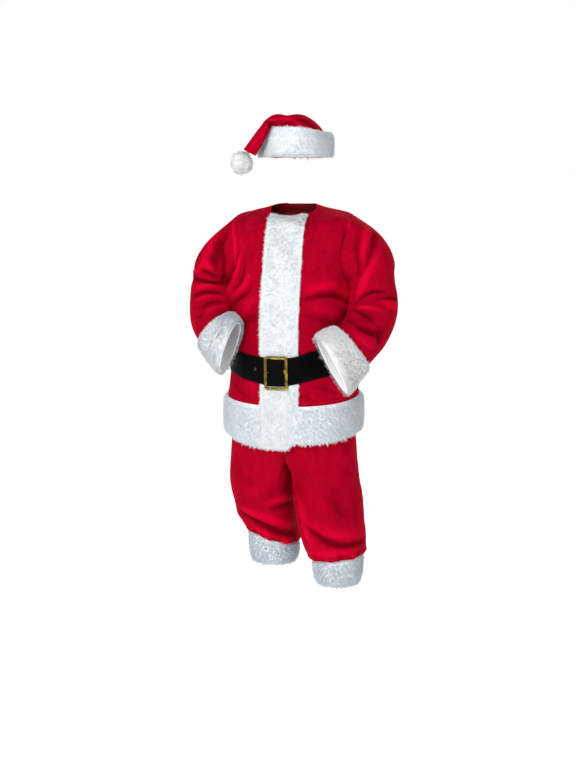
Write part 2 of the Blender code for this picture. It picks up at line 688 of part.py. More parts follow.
def box(name, size, place, finish_of=None, bevel=0.0):
    """A block with its middle at a place on the buckle, turned to lie on it."""
    work = bmesh.new()
    bmesh.ops.create_cube(work, size=1.0)
    bmesh.ops.scale(work, vec=size, verts=work.verts)
    mesh = bpy.data.meshes.new(name)
    work.to_mesh(mesh)
    work.free()
    made = bpy.data.objects.new(name, mesh)
    made.matrix_world = Matrix.Translation(place) @ buckle_frame
    if finish_of:
        suit.objects.link(made)
        mesh.materials.append(finish_of)
    if bevel:
        rounded = made.modifiers.new("rounded", "BEVEL")
        rounded.width, rounded.segments, rounded.limit_method = bevel, 2, "ANGLE"
    return made


FRAME_OUT = 0.7 * MM + BAR_DEPTH / 2
buckle = box("buckle_frame", (BUCKLE_WIDTH, BUCKLE_HEIGHT, BAR_DEPTH), on_buckle(0, 0, FRAME_OUT), brass)
cutters = bpy.data.collections.new("cutters")
bpy.context.scene.collection.children.link(cutters)
window = box("buckle_window", (BUCKLE_WIDTH - 2 * BAR, BUCKLE_HEIGHT - 2 * BAR, 0.03), on_buckle(0, 0, 0))
cutters.objects.link(window)
window.hide_render = True
window.display_type = "WIRE"
cut = buckle.modifiers.new("window", "BOOLEAN")
cut.object = window
rounded = buckle.modifiers.new("rounded", "BEVEL")
rounded.width, rounded.segments, rounded.limit_method = 1.2 * MM, 2, "ANGLE"

PRONG = 0.0030  # half its thickness
inner_edge = BUCKLE_WIDTH / 2 - BAR


def rod(name, points, radius, finish_of):
    curve = bpy.data.curves.new(name, "CURVE")
    curve.dimensions = "3D"
    curve.bevel_depth, curve.bevel_resolution, curve.use_fill_caps = radius, 2, True
    line = curve.splines.new("POLY")
    line.points.add(len(points) - 1)
    for point, place in zip(line.points, points):
        point.co = (*place, 1.0)
    curve.materials.append(finish_of)
    made = bpy.data.objects.new(name, curve)
    suit.objects.link(made)
    return made


bar_front = 0.7 * MM + BAR_DEPTH
rod("prong_tip", [
    on_buckle(0.016, 0, PRONG + 0.5 * MM), on_buckle(0.022, 0, PRONG + 0.5 * MM),
    on_buckle(0.027, 0, PRONG + 2.2 * MM), on_buckle(0.0312, 0, PRONG + bar_front + 0.3 * MM),
    on_buckle(0.040, 0, PRONG + bar_front + 0.3 * MM),
], PRONG, brass)
rod("prong_loop", [
    on_buckle(-0.026, 0, PRONG + 0.5 * MM), on_buckle(-0.0285, 0, PRONG + 1.4 * MM),
    on_buckle(-0.0312, 0, PRONG + bar_front + 0.3 * MM), on_buckle(-0.040, 0, PRONG + bar_front + 0.3 * MM),
], PRONG, brass)

# the trousers: a front and a back for each leg, a casing at the waist, fur at the ankles
PANEL_TOP = -0.530
SIDE_SHARE = 0.0004  # of the way round a leg, that half of a seam takes up
RISE_ROWS = np.array([0.06, 0.22, 0.5, 1.0])  # up the seam under the fork, from one leg to both
for side, name in ((LEFT, "left"), (RIGHT, "right")):
    form, foot = leg(side)
    leg_rows = np.concatenate([
        [foot, foot + 0.006, foot + 0.022], np.linspace(foot + 0.05, FORK, 9),
        FORK + (FORK_TOP - FORK) * RISE_ROWS,
        np.linspace(FORK_TOP, PANEL_TOP, 6)[1:],
    ])
    begin = seam_start(leg_rows)[:, None] + np.where(leg_rows < FORK, SIDE_SHARE, 0.0)[:, None]
    share = np.linspace(0, 1, 10)
    front = 0.5 * share + begin * (1 - share) ** 2.4 - SIDE_SHARE * share
    back = 0.5 + 0.5 * share - begin * share**2.4 + SIDE_SHARE * (1 - share)
    for which, around in (("front", front), ("back", back)):
        if side == RIGHT:
            around = around[:, ::-1]
        cut_and_wrap(
            f"trouser_{which}_{name}", form, around, leg_rows[:, None], PLUSH, red,
            beside=side, facing=side,
        )

CASING = 3.0 * MM  # the elastic inside its fold of cloth
CASING_FOOT, CASING_TOP = -0.526, -0.490
casing_gap = HALF_GAP / SIDE_RADIUS
casing_height = np.linspace(CASING_FOOT, CASING_TOP, 3)
casing_theta = np.linspace(casing_gap, TURN - casing_gap, 29)


def waist_form(theta, height):
    wide, front, back = (
        read(HIPS["height"], HIPS[n], height) for n in ("half_width", "front", "back")
    )
    turned = theta - np.pi
    x, ahead = wide * np.sin(turned), -np.cos(turned)
    return np.stack([x, np.where(ahead < 0, front, back) * ahead, height + 0 * x], -1)


cut_and_wrap("waistband", waist_form, casing_theta, casing_height[:, None], CASING, elastic)

# the middle of each cuff of fur, its top and its length
LEG_CUFFS = {RIGHT: (-0.090, 0.050, -1.2428, 0.096), LEFT: (0.190, -0.084, -1.2628, 0.090)}
ANKLE_RADIUS, ANKLE_SWELL = 0.081, 0.003
ankle_gap = HALF_GAP / ANKLE_RADIUS
for side, name in ((LEFT, "left"), (RIGHT, "right")):
    x, y, top, length = LEG_CUFFS[side]

    def ankle(phi, along, x=x, y=y, top=top, length=length, lean=LEANS[side]):
        out = ANKLE_RADIUS + ANKLE_SWELL * np.sin(np.pi * along / length)
        across, ahead = out * np.sin(phi), out * np.cos(phi)
        z = top - length + along + lean * across * along / length
        return np.stack([x + across, y + ahead, z], -1)

    around = -np.linspace(ankle_gap, TURN - ankle_gap, 21)
    across = np.linspace(0, 1, 5)[:, None]
    cut_and_wrap(f"leg_cuff_{name}", ankle, around, length * across, fur_profile(across), white)

# the hat: its crown folded over to the wearer's right, a brim of fur, a pompom on the end
hat_gap = HALF_GAP / HAT["half_depth"][0]
hat_ring = np.linspace(hat_gap, TURN - hat_gap, 21)
hat_rows = np.linspace(0.0, HAT["along"][-1], 18)
cut_and_wrap("hat_crown", hat, hat_ring, hat_rows[:, None], PLUSH, red)
BRIM_WIDTH, BRIM_LEAN, SIDES_LOWER = 0.085, 0.04, 0.20
brim_rows = np.linspace(-0.004, BRIM_WIDTH, 5)
across = np.linspace(0, 1, 5)[:, None]


def brim_form(phi, along):
    """Upright over the lower half, then leaning in; lower at the wearer's sides."""
    steady = hat_plain(phi, 0.0 * along + 0.02)
    leaning = 1 - BRIM_LEAN * ease(2 * along / BRIM_WIDTH - 1)
    lower = 1 - SIDES_LOWER * np.cos(phi) ** 2
    z = HAT["low_z"][0] + along * lower
    return np.stack([steady[..., 0] * leaning, steady[..., 1] * leaning, z + 0 * phi], -1)


cut_and_wrap("hat_brim", brim_form, hat_ring, brim_rows[:, None], fur_profile(across), white, PLUSH + LAID_ON)

work = bmesh.new()
bmesh.ops.create_icosphere(work, subdivisions=3, radius=POMPOM_RADIUS)
bmesh.ops.translate(work, vec=POMPOM_AT, verts=work.verts)
ball = bpy.data.meshes.new("pompom")
work.to_mesh(ball)
work.free()
finish("pompom", ball, white)
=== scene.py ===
"""The looks of a worn santa suit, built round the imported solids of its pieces.

The forms are those of the solids, read at a finer grain and with every crease. Metres, +Z up,
the origin at the base of the neck, the front faces -Y and left is the wearer's, at +X.
"""

import itertools

import bmesh
import bpy
import numpy as np
from mathutils import Matrix, Vector

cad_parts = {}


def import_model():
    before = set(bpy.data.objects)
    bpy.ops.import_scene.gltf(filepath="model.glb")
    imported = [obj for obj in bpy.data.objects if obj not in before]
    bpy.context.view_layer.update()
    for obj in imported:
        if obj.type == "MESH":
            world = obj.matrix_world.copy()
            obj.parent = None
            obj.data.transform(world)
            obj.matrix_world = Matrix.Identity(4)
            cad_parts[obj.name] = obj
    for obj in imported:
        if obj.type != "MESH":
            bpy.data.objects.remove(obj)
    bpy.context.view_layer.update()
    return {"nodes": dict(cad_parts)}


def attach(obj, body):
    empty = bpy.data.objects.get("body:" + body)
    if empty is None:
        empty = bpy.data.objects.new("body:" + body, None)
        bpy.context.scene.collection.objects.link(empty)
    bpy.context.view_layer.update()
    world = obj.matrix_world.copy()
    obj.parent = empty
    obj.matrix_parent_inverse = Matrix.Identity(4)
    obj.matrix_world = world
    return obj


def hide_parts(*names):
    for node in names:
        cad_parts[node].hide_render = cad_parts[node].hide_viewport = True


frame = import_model()

MM = 0.001
PLUSH = 2.0 * MM
LAID_ON = 1.0 * MM
FUR = 14.0 * MM
FUR_EDGE = 5.0 * MM
STRAP = 3.5 * MM
TURN = 2 * np.pi
LEFT, RIGHT = 1, -1
SIDES = {"left": LEFT, "right": RIGHT}

# ---------------------------------------------------------------- camera, first of all

CAMERA_AZIMUTH = np.radians(14)
CAMERA_DISTANCE = 4.2
FRAME_WIDE, FRAME_HIGH = 576, 768
FOCAL = 1155  # in pixels of the frame
ORIGIN_AT = (294, 205)  # where the base of the neck is seen
SENSOR = 36.0


def set_camera():
    camera = bpy.data.objects.new("camera", bpy.data.cameras.new("camera"))
    bpy.context.scene.collection.objects.link(camera)
    bpy.context.scene.camera = camera
    camera.data.sensor_width = SENSOR
    camera.data.lens = FOCAL * SENSOR / FRAME_HIGH
    spot = Vector((np.sin(CAMERA_AZIMUTH), -np.cos(CAMERA_AZIMUTH), 0)) * CAMERA_DISTANCE
    aside = np.arctan((ORIGIN_AT[0] - FRAME_WIDE / 2) / FOCAL)
    down = np.arctan((FRAME_HIGH / 2 - ORIGIN_AT[1]) / FOCAL)
    turn = Matrix.Rotation(CAMERA_AZIMUTH + aside, 4, "Z") @ Matrix.Rotation(np.pi / 2 - down, 4, "X")
    camera.matrix_world = Matrix.Translation(spot) @ turn


set_camera()

# ---------------------------------------------------------------- tables and how they are read


def table(names, rows):
    """Named columns from a short table with one row for each section."""
    return dict(zip(names.split(), np.array(rows, float).T))


def read(stations, values, at):
    """A smooth curve through the values at the stations, read at any places."""
    slopes = np.gradient(values, stations)
    at = np.clip(at, stations[0], stations[-1])
    i = np.clip(np.searchsorted(stations, at, side="right") - 1, 0, len(stations) - 2)
    h = stations[i + 1] - stations[i]
    s = (at - stations[i]) / h
    start = (1 + 2 * s) * (1 - s) ** 2 * values[i] + s * (1 - s) ** 2 * h * slopes[i]
    end = s * s * (3 - 2 * s) * values[i + 1] + s * s * (s - 1) * h * slopes[i + 1]
    return start + end


def read_all(rows, key, at):
    """Every other column of a table, in its order, read at places in the one named."""
    return [read(rows[key], rows[name], at) for name in rows if name != key]


def run_of(*coordinates):
    """Distance along a line of points, from its first point."""
    steps = np.sqrt(sum(np.diff(c) ** 2 for c in coordinates))
    return np.concatenate([[0.0], np.cumsum(steps)])


def ease(t):
    t = np.clip(t, 0.0, 1.0)
    return t * t * (3 - 2 * t)


def unit(v):
    return v / np.maximum(np.linalg.norm(v, axis=-1, keepdims=True), 1e-12)


def outward(surface, u, v, step=2e-4):
    """Unit normals, on the side that a rising u and then a rising v turn anticlockwise on."""
    du = surface(u + step, v) - surface(u - step, v)
    dv = surface(u, v + step) - surface(u, v - step)
    return unit(np.cross(du, dv))


def raised(surface, u, v, height):
    """Points that stand off a surface by a height, along its unit normals."""
    return surface(u, v) + np.asarray(height)[..., None] * outward(surface, u, v)


def squared(angle, share):
    """How much wider a section is than an oval, between its axes."""
    return 1 + share * np.sin(2 * angle) ** 2


def scatter(i, j, seed):
    """A fixed random number from 0 to 1 for each cell of a grid."""
    mixed = np.sin(i * 127.1 + j * 311.7 + seed * 74.7) * 43758.5453
    return mixed - np.floor(mixed)


def rumple(u, v, size, seed=0):
    """Smooth random heights from -1 to 1, with about one bump to each size."""
    a, b = np.asarray(u) / size, np.asarray(v) / size
    i, j = np.floor(a), np.floor(b)
    s, t = ease(a - i), ease(b - j)
    low = scatter(i, j, seed) * (1 - s) + scatter(i + 1, j, seed) * s
    high = scatter(i, j + 1, seed) * (1 - s) + scatter(i + 1, j + 1, seed) * s
    return 2 * (low * (1 - t) + high * t) - 1


def unevenness(u, v, *waves):
    """How far slack cloth stands out. Each wave has a height in mm, a size and a seed."""
    return sum(height * MM * rumple(u, v, size, seed) for height, size, seed in waves)


CREASE = "across along to_across to_along bow width depth"
FAR_FLANK, NEAR_FLANK = 1.45, 0.75  # shares of a crease's width
KEPT_AT_ENDS = 0.35  # share of a crease's depth


def creases_at(creases, across, along):
    """How far the creases push the cloth out. Each runs from one place to another with its middle
    bowed aside, is steeper on one flank, and fades out at both ends."""
    push = np.zeros(np.broadcast(across, along).shape)
    for from_x, from_y, to_x, to_y, bow, width, depth in zip(*creases.values()):
        dx, dy = to_x - from_x, to_y - from_y
        px, py = across - from_x, along - from_y
        length = np.hypot(dx, dy)
        s = (px * dx + py * dy) / length**2
        t = np.clip(s, 0.0, 1.0)
        off = (py * dx - px * dy) / length - bow * 4 * t * (1 - t)
        flank = np.where(off > 0, FAR_FLANK, NEAR_FLANK) * width
        past = (s - t) * length / width
        fade = KEPT_AT_ENDS + (1 - KEPT_AT_ENDS) * np.sin(np.pi * (0.08 + 0.84 * t))
        push = push + depth * fade * np.exp(-((off / flank) ** 2) - past**2)
    return push


def in_metres(creases, radius):
    """The same creases with their angles as lengths round a body of that radius."""
    turned = {end: np.radians(creases[end]) * radius for end in ("across", "to_across")}
    return {**creases, **turned}


# ---------------------------------------------------------------- the jacket's body

TORSO = table("height middle half_width front back dip", [
    (-0.818, 0.000, 0.238, 0.196, 0.172, 0.036),
    (-0.760, 0.000, 0.241, 0.202, 0.174, 0.030),
    (-0.680, 0.000, 0.238, 0.208, 0.172, 0.026),
    (-0.588, 0.000, 0.227, 0.206, 0.166, 0.030),
    (-0.497, 0.000, 0.219, 0.210, 0.164, 0.030),
    (-0.420, -0.004, 0.212, 0.210, 0.162, 0.018),
    (-0.340, -0.009, 0.213, 0.198, 0.162, 0.008),
    (-0.260, -0.005, 0.2075, 0.180, 0.162, 0.006),
    (-0.190, -0.001, 0.216, 0.160, 0.160, 0.008),
    (-0.120, 0.000, 0.232, 0.140, 0.152, 0.016),
    (-0.075, 0.000, 0.236, 0.126, 0.142, 0.024),
    (-0.044, 0.000, 0.229, 0.114, 0.126, 0.032),
    (-0.026, 0.000, 0.207, 0.103, 0.110, 0.038),
    (-0.015, 0.000, 0.165, 0.091, 0.095, 0.044),
    (-0.005, 0.000, 0.120, 0.081, 0.082, 0.050),
    (0.006, 0.000, 0.082, 0.074, 0.072, 0.056),
])
TORSO["along"] = run_of(TORSO["height"], TORSO["half_width"])
SQUARENESS = 0.05
NECK = TORSO["along"][-1]
BODY_RADIUS = 0.22
BELT_CALM = 0.070  # the cloth is flat this near the belt's middle
HEM_CALM, NECK_CALM = 0.14, 0.86  # and below and above these places up the side seam


def side_level(height):
    """Distance up the side seam at a height below the armpit."""
    return np.interp(height, TORSO["height"], TORSO["along"])


HEM_TOP = side_level(-0.674)
BELT_MIDDLE = side_level(-0.544)
BELT_WIDTH = 0.095

# degrees from the middle of the front, and metres up the side seam
BODY_CREASES = table(CREASE, [
    # the wearer's right front: pulls that fan out from the armpit
    (-60, 0.780, -63, 0.605, 0.036, 0.007, 0.0105),
    (-45, 0.661, -59, 0.571, 0.007, 0.006, 0.0095),
    (-34, 0.582, -64, 0.499, 0.025, 0.007, 0.0130),
    (-50, 0.596, -69, 0.528, -0.001, 0.006, 0.0085),
    (-49, 0.664, -65, 0.596, 0.006, 0.006, -0.0070),
    (-41, 0.617, -70, 0.522, 0.032, 0.006, -0.0090),
    (-55, 0.476, -30, 0.528, -0.005, 0.008, -0.0075),
    (-42, 0.433, -20, 0.504, 0.002, 0.014, 0.0045),
    (-51, 0.392, -21, 0.441, 0.003, 0.012, -0.0040),
    (-47, 0.742, -44, 0.672, 0.007, 0.012, 0.0035),
    (-60, 0.200, -34, 0.330, 0.008, 0.016, 0.0035),
    # the fullness at each side that the arm rests against
    (-94, 0.490, -68, 0.515, 0.000, 0.042, 0.0190),
    (-84, 0.400, -74, 0.560, 0.000, 0.028, 0.0110),
    (96, 0.490, 76, 0.535, 0.000, 0.036, 0.0160),
    # the wearer's left front: the crease over the belly and soft ones above it
    (27, 0.503, 89, 0.446, 0.029, 0.009, -0.0100),
    (27, 0.528, 64, 0.528, 0.014, 0.014, 0.0065),
    (62, 0.647, 84, 0.501, 0.008, 0.011, -0.0055),
    (61, 0.731, 86, 0.520, -0.006, 0.010, 0.0060),
    (62, 0.477, 94, 0.427, 0.002, 0.009, 0.0055),
    (31, 0.442, 63, 0.411, -0.004, 0.012, -0.0040),
    (37, 0.468, 66, 0.431, 0.002, 0.016, 0.0045),
    (66, 0.788, 65, 0.694, -0.015, 0.010, 0.0050),
    (55, 0.770, 60, 0.643, -0.008, 0.012, -0.0040),
    (58, 0.180, 38, 0.310, -0.006, 0.018, 0.0035),
    # faint drag lines between the belt and the hem
    (14, 0.188, 30, 0.150, 0.002, 0.008, -0.0034),
    (25, 0.226, 49, 0.178, 0.004, 0.009, -0.0034),
    (-49, 0.206, -27, 0.153, -0.004, 0.009, -0.0030),
    # the back: drag lines between the shoulder blades and slack over the belt
    (118, 0.560, 156, 0.640, 0.010, 0.014, 0.0065),
    (-118, 0.575, -158, 0.650, -0.010, 0.014, 0.0065),
    (120, 0.515, 160, 0.560, 0.008, 0.015, -0.0055),
    (-116, 0.525, -152, 0.565, -0.010, 0.015, -0.0055),
    (138, 0.400, 196, 0.412, 0.008, 0.017, 0.0070),
    (150, 0.440, 214, 0.452, -0.010, 0.015, -0.0060),
    (128, 0.470, 190, 0.492, 0.006, 0.019, 0.0055),
    (162, 0.360, 222, 0.372, 0.004, 0.014, -0.0050),
    (170, 0.620, 176, 0.760, 0.006, 0.018, 0.0035),
    (198, 0.600, 190, 0.740, -0.005, 0.018, -0.0030),
    (132, 0.640, 142, 0.760, 0.005, 0.016, 0.0045),
    (226, 0.640, 217, 0.765, -0.006, 0.016, 0.0045),
    (140, 0.170, 150, 0.320, 0.006, 0.018, 0.0045),
    (212, 0.180, 204, 0.310, -0.004, 0.018, 0.0040),
    (178, 0.170, 180, 0.300, 0.004, 0.020, -0.0035),
])


def torso_plain(theta, along):
    """theta turns from the middle of the front to the wearer's left, along runs up the side."""
    height, middle, half_width, front, back, dip = read_all(TORSO, "along", along)
    square, ahead = squared(theta, SQUARENESS), np.cos(theta)
    x = middle + half_width * np.sin(theta) * square
    y = -np.where(ahead > 0, front, back) * ahead * square
    z = height - dip * ((1 + ahead) / 2) ** 2
    return np.stack([x, y, z + 0 * theta], -1)


def torso_push(theta, along):
    """The creases of the jacket's body. They die out under the belt and in the hem."""
    turned = (theta + np.pi) % TURN - np.pi
    creases = in_metres(BODY_CREASES, BODY_RADIUS)
    push = creases_at(creases, turned * BODY_RADIUS, along)
    # those that start on the wearer's left may run on past the middle of the back
    wrapped = {**creases, "depth": creases["depth"] * (creases["across"] > 0)}
    behind = np.where(turned < 0, turned + TURN, turned)
    push = np.where(turned < 0, push + creases_at(wrapped, behind * BODY_RADIUS, along), push)
    push = push + unevenness(turned * BODY_RADIUS, along, (0.9, 0.055, 3), (0.4, 0.021, 4))
    belt = 1 - np.exp(-(((along - BELT_MIDDLE) / BELT_CALM) ** 4))
    hem = ease((along - HEM_CALM) / 0.05)
    neck = 1 - 0.8 * ease((along - NECK_CALM) / 0.05)
    return push * belt * hem * neck


def torso(theta, along):
    return raised(torso_plain, theta, along, torso_push(theta, along))


def angle_at(x, along):
    """The angle on the front of the body where the surface is x to the side of the middle."""
    half_width = read(TORSO["along"], TORSO["half_width"], along)
    x = x - read(TORSO["along"], TORSO["middle"], along)
    theta = np.arcsin(np.clip(x / half_width, -1, 1))
    for _ in range(6):
        theta = np.arcsin(np.clip(x / (half_width * squared(theta, SQUARENESS)), -1, 1))
    return theta


# ---------------------------------------------------------------- the sleeves

ARMHOLE_TOP, ARMHOLE_BOTTOM = 0.805, 0.560
ARMHOLE_REACH = np.radians(35)
SET_IN = 0.5 * MM  # the sleeve meets the edge of the armhole, a seam's gap inside it
CAP = 0.12
SLEEVE_HEAD, HEAD_OVER = 2.4 * MM, 0.012  # the sleeve's fullness just past the seam
ARM_CALM = 0.04  # how far down the sleeve its creases begin
CUFF_SEAM, CUFF_TIGHT = 0.020, 0.7  # how far and how much the cuff's seam flattens them
ARM_SECTIONS = 90
ARM_RADIUS = 0.08
CUFF_ROW = 5
ARMS = {
    RIGHT: table("x y z half_top half_front face_x face_y face_z", [
        (-0.236, 0.000, -0.140, 0.112, 0.085, -0.70, 0.05, -0.70),
        (-0.265, 0.004, -0.182, 0.104, 0.088, -0.60, 0.06, -0.80),
        (-0.307, -0.012, -0.252, 0.066, 0.084, -0.30, -0.04, -0.95),
        (-0.312, -0.033, -0.322, 0.065, 0.083, 0.00, -0.30, -0.95),
        (-0.286, -0.097, -0.394, 0.074, 0.074, 0.42, -0.55, -0.72),
        (-0.2375, -0.192, -0.434, 0.074, 0.056, 0.72, -0.30, -0.62),
        (-0.2005, -0.230, -0.462, 0.082, 0.067, 0.87, -0.14, -0.44),
        (-0.1605, -0.272, -0.489, 0.090, 0.071, 0.96, 0.00, -0.27),
    ]),
    LEFT: table("x y z half_top half_front face_x face_y face_z", [
        (0.236, 0.000, -0.140, 0.112, 0.085, 0.70, 0.00, -0.70),
        (0.271, 0.000, -0.176, 0.108, 0.088, 0.60, 0.02, -0.80),
        (0.293, -0.014, -0.262, 0.075, 0.086, 0.22, -0.06, -0.97),
        (0.302, -0.036, -0.345, 0.083, 0.086, 0.04, -0.32, -0.95),
        (0.291, -0.098, -0.420, 0.086, 0.078, -0.40, -0.55, -0.72),
        (0.254, -0.190, -0.483, 0.088, 0.067, -0.72, -0.36, -0.60),
        (0.228, -0.240, -0.510, 0.100, 0.076, -0.78, -0.36, -0.50),
        (0.205, -0.294, -0.536, 0.113, 0.078, -0.83, -0.37, -0.42),
    ]),
}
ARM_CREASES = {  # degrees from the top of the arm to its front, and metres down the sleeve
    RIGHT: table(CREASE, [
        (37, 0.007, 69, 0.043, -0.009, 0.009, -0.0085),
        (69, 0.043, 158, 0.147, -0.029, 0.008, -0.0085),
        (36, 0.049, 67, 0.067, 0.005, 0.007, 0.0110),
        (56, 0.080, 99, 0.096, 0.001, 0.007, 0.0100),
        (53, 0.043, 108, 0.086, 0.001, 0.011, -0.0070),
        (42, 0.158, 159, 0.158, 0.004, 0.009, -0.0120),
        (66, 0.121, 127, 0.125, -0.005, 0.008, -0.0080),
        (67, 0.199, 157, 0.180, -0.002, 0.010, 0.0080),
        (56, 0.236, 156, 0.221, -0.003, 0.009, -0.0090),
        (70, 0.267, 156, 0.269, -0.005, 0.010, 0.0070),
        (85, 0.314, 157, 0.304, -0.011, 0.009, -0.0085),
        (86, 0.354, 156, 0.348, -0.005, 0.012, 0.0060),
        (40, 0.138, 68, 0.086, 0.018, 0.010, 0.0070),
        (56, 0.337, 86, 0.354, 0.005, 0.007, -0.0070),
        # the side away, and the elbow's back
        (-150, 0.180, -60, 0.190, 0.006, 0.014, 0.0060),
        (-140, 0.226, -50, 0.232, -0.006, 0.012, -0.0080),
        (-150, 0.270, -64, 0.274, 0.006, 0.014, 0.0060),
        (-130, 0.312, -40, 0.300, 0.006, 0.012, -0.0060),
        (-110, 0.060, -80, 0.150, 0.008, 0.014, -0.0050),
        (-60, 0.050, -34, 0.140, -0.006, 0.014, 0.0055),
        (-40, 0.160, 30, 0.166, 0.004, 0.012, -0.0060),
        (180, 0.170, 180, 0.310, 0.000, 0.032, 0.0090),
        (-180, 0.310, -180, 0.170, 0.000, 0.032, 0.0090),
    ]),
    LEFT: table(CREASE, [
        (49, 0.021, 118, 0.108, -0.015, 0.008, -0.0050),
        (18, 0.054, 82, 0.085, -0.007, 0.009, -0.0085),
        (21, 0.043, 85, 0.063, -0.009, 0.008, 0.0080),
        (35, 0.067, 125, 0.190, -0.026, 0.010, 0.0080),
        (121, 0.256, 48, 0.201, 0.024, 0.008, -0.0095),
        (113, 0.309, 60, 0.282, 0.007, 0.010, 0.0080),
        (127, 0.311, 70, 0.332, -0.006, 0.009, -0.0090),
        (115, 0.383, 83, 0.369, -0.007, 0.009, 0.0070),
        (130, 0.379, 34, 0.358, -0.012, 0.009, -0.0110),
        (44, 0.343, 21, 0.375, -0.001, 0.010, -0.0080),
        (54, 0.238, 3, 0.235, -0.012, 0.010, 0.0070),
        (68, 0.234, -1, 0.222, 0.005, 0.008, -0.0075),
        (92, 0.413, 33, 0.398, -0.005, 0.012, 0.0060),
        (121, 0.238, 80, 0.117, 0.008, 0.011, 0.0055),
        # the side away, and the elbow's back
        (-150, 0.200, -64, 0.210, 0.006, 0.014, 0.0060),
        (-140, 0.250, -50, 0.254, -0.006, 0.012, -0.0085),
        (-150, 0.298, -64, 0.298, 0.006, 0.014, 0.0060),
        (-130, 0.340, -30, 0.326, 0.006, 0.012, -0.0065),
        (-112, 0.060, -82, 0.160, -0.008, 0.014, -0.0050),
        (-58, 0.060, -36, 0.160, 0.006, 0.014, 0.0055),
        (180, 0.120, 180, 0.250, 0.000, 0.030, 0.0095),
        (-180, 0.250, -180, 0.120, 0.000, 0.030, 0.0095),
    ]),
}


def armhole(side, psi, inside=0.0):
    """Points of the armhole, from its top (0) to the front (a quarter turn) and round."""
    middle, half = (ARMHOLE_TOP + ARMHOLE_BOTTOM) / 2, (ARMHOLE_TOP - ARMHOLE_BOTTOM) / 2
    reach = ARMHOLE_REACH - inside / (0.6 * BODY_RADIUS)
    theta = side * (np.pi / 2 - reach * np.sin(psi))
    return theta, middle + (half - inside) * np.cos(psi)


def arm(side):
    """The form of an arm, where its fur begins, its length, and the push of its creases. phi runs
    from the underarm seam once round the arm, and along from the armhole to the cuff's rim."""
    rows = ARMS[side]
    stations = run_of(rows["x"], rows["y"], rows["z"])
    at = np.linspace(0, stations[-1], ARM_SECTIONS)
    place = np.stack([read(stations, rows[axis], at) for axis in "xyz"], -1)
    ahead = unit(np.stack([read(stations, rows["face_" + axis], at) for axis in "xyz"], -1))
    top = np.zeros_like(place)
    held = np.array([0.0, 0.0, 1.0])
    for i in range(ARM_SECTIONS):
        held = unit(held - held.dot(ahead[i]) * ahead[i])
        top[i] = held
    front = -side * np.cross(top, ahead)
    opening = torso_plain(*armhole(side, np.linspace(0, TURN, 48, endpoint=False)))
    middle = opening.mean(axis=0)
    creases = in_metres(ARM_CREASES[side], ARM_RADIUS)

    def between(values, along):
        return np.stack([np.interp(along, at, values[:, i]) for i in range(3)], -1)

    def plain(phi, along):
        psi = side * (phi - np.pi)
        up = (read(stations, rows["half_top"], along) * np.cos(psi))[..., None]
        forward = (read(stations, rows["half_front"], along) * np.sin(psi))[..., None]
        oval = up * between(top, along) + forward * between(front, along)
        joined = ease(along / CAP)[..., None]
        hole = armhole(side, psi, SET_IN)
        head = SLEEVE_HEAD * ease(along / HEAD_OVER)
        start = torso(*hole) + head[..., None] * outward(torso_plain, *hole) - middle
        shift = (1 - joined) * (middle - place[0])
        return between(place, along) + shift + (1 - joined) * start + joined * oval

    def push(phi, along):
        round_it = side * (phi - np.pi) * ARM_RADIUS
        calm = ease(along / ARM_CALM)
        seam = 1 - CUFF_TIGHT * np.exp(-(((along - stations[CUFF_ROW]) / CUFF_SEAM) ** 2))
        waves = unevenness(round_it, along, (0.9, 0.045, 5 + side), (0.4, 0.019, 9 + side))
        return (creases_at(creases, round_it, along) + waves) * calm * seam

    def folded(phi, along):
        return raised(plain, phi, along, push(phi, along))

    return folded, stations[CUFF_ROW], stations[-1], push


# ---------------------------------------------------------------- the trousers

FORK = -0.965
FORK_TOP = FORK + 0.100
FORK_SHARE = 0.16
INNER_LEG = 2.4 * MM
LEG_RADIUS = 0.12
LEG_SQUARENESS = 0.04
GATHERS = 8  # round each leg, over its fur cuff
GATHER = {RIGHT: 0.0028, LEFT: 0.0018}
GATHER_UP, GATHER_OVER = 0.012, 0.030
FOLDS_END, FOLDS_FADE = -0.94, 0.06
LEAN_OVER = 0.07  # how far up the leg its foot's lean reaches
BLEND_BELOW = 0.12  # how far below the fork the legs begin to join the hips
LEANS = {RIGHT: -0.28, LEFT: 0.13}
HIPS = table("height half_width front back", [
    (-1.100, 0.244, 0.126, 0.138),
    (-0.965, 0.238, 0.132, 0.140),
    (-0.930, 0.235, 0.140, 0.144),
    (-0.880, 0.232, 0.156, 0.150),
    (-0.800, 0.226, 0.172, 0.152),
    (-0.700, 0.220, 0.182, 0.148),
    (-0.600, 0.204, 0.184, 0.140),
    (-0.500, 0.190, 0.180, 0.134),
])
LEGS = {
    RIGHT: table("height x y half_width half_depth", [
        (-1.234, -0.090, 0.048, 0.083, 0.083),
        (-1.229, -0.090, 0.048, 0.095, 0.100),
        (-1.210, -0.096, 0.047, 0.104, 0.112),
        (-1.175, -0.108, 0.044, 0.112, 0.120),
        (-1.120, -0.115, 0.034, 0.112, 0.126),
        (-1.040, -0.121, 0.016, 0.118, 0.130),
        (-0.965, -0.1224, 0.004, 0.1200, 0.134),
        (-0.880, -0.1224, 0.000, 0.1200, 0.140),
    ]),
    LEFT: table("height x y half_width half_depth", [
        (-1.262, 0.190, -0.082, 0.081, 0.081),
        (-1.257, 0.187, -0.082, 0.094, 0.097),
        (-1.234, 0.178, -0.078, 0.106, 0.110),
        (-1.190, 0.166, -0.066, 0.116, 0.118),
        (-1.120, 0.150, -0.046, 0.121, 0.126),
        (-1.040, 0.134, -0.020, 0.125, 0.130),
        (-0.965, 0.1224, 0.004, 0.1200, 0.134),
        (-0.880, 0.1224, 0.000, 0.1200, 0.140),
    ]),
}
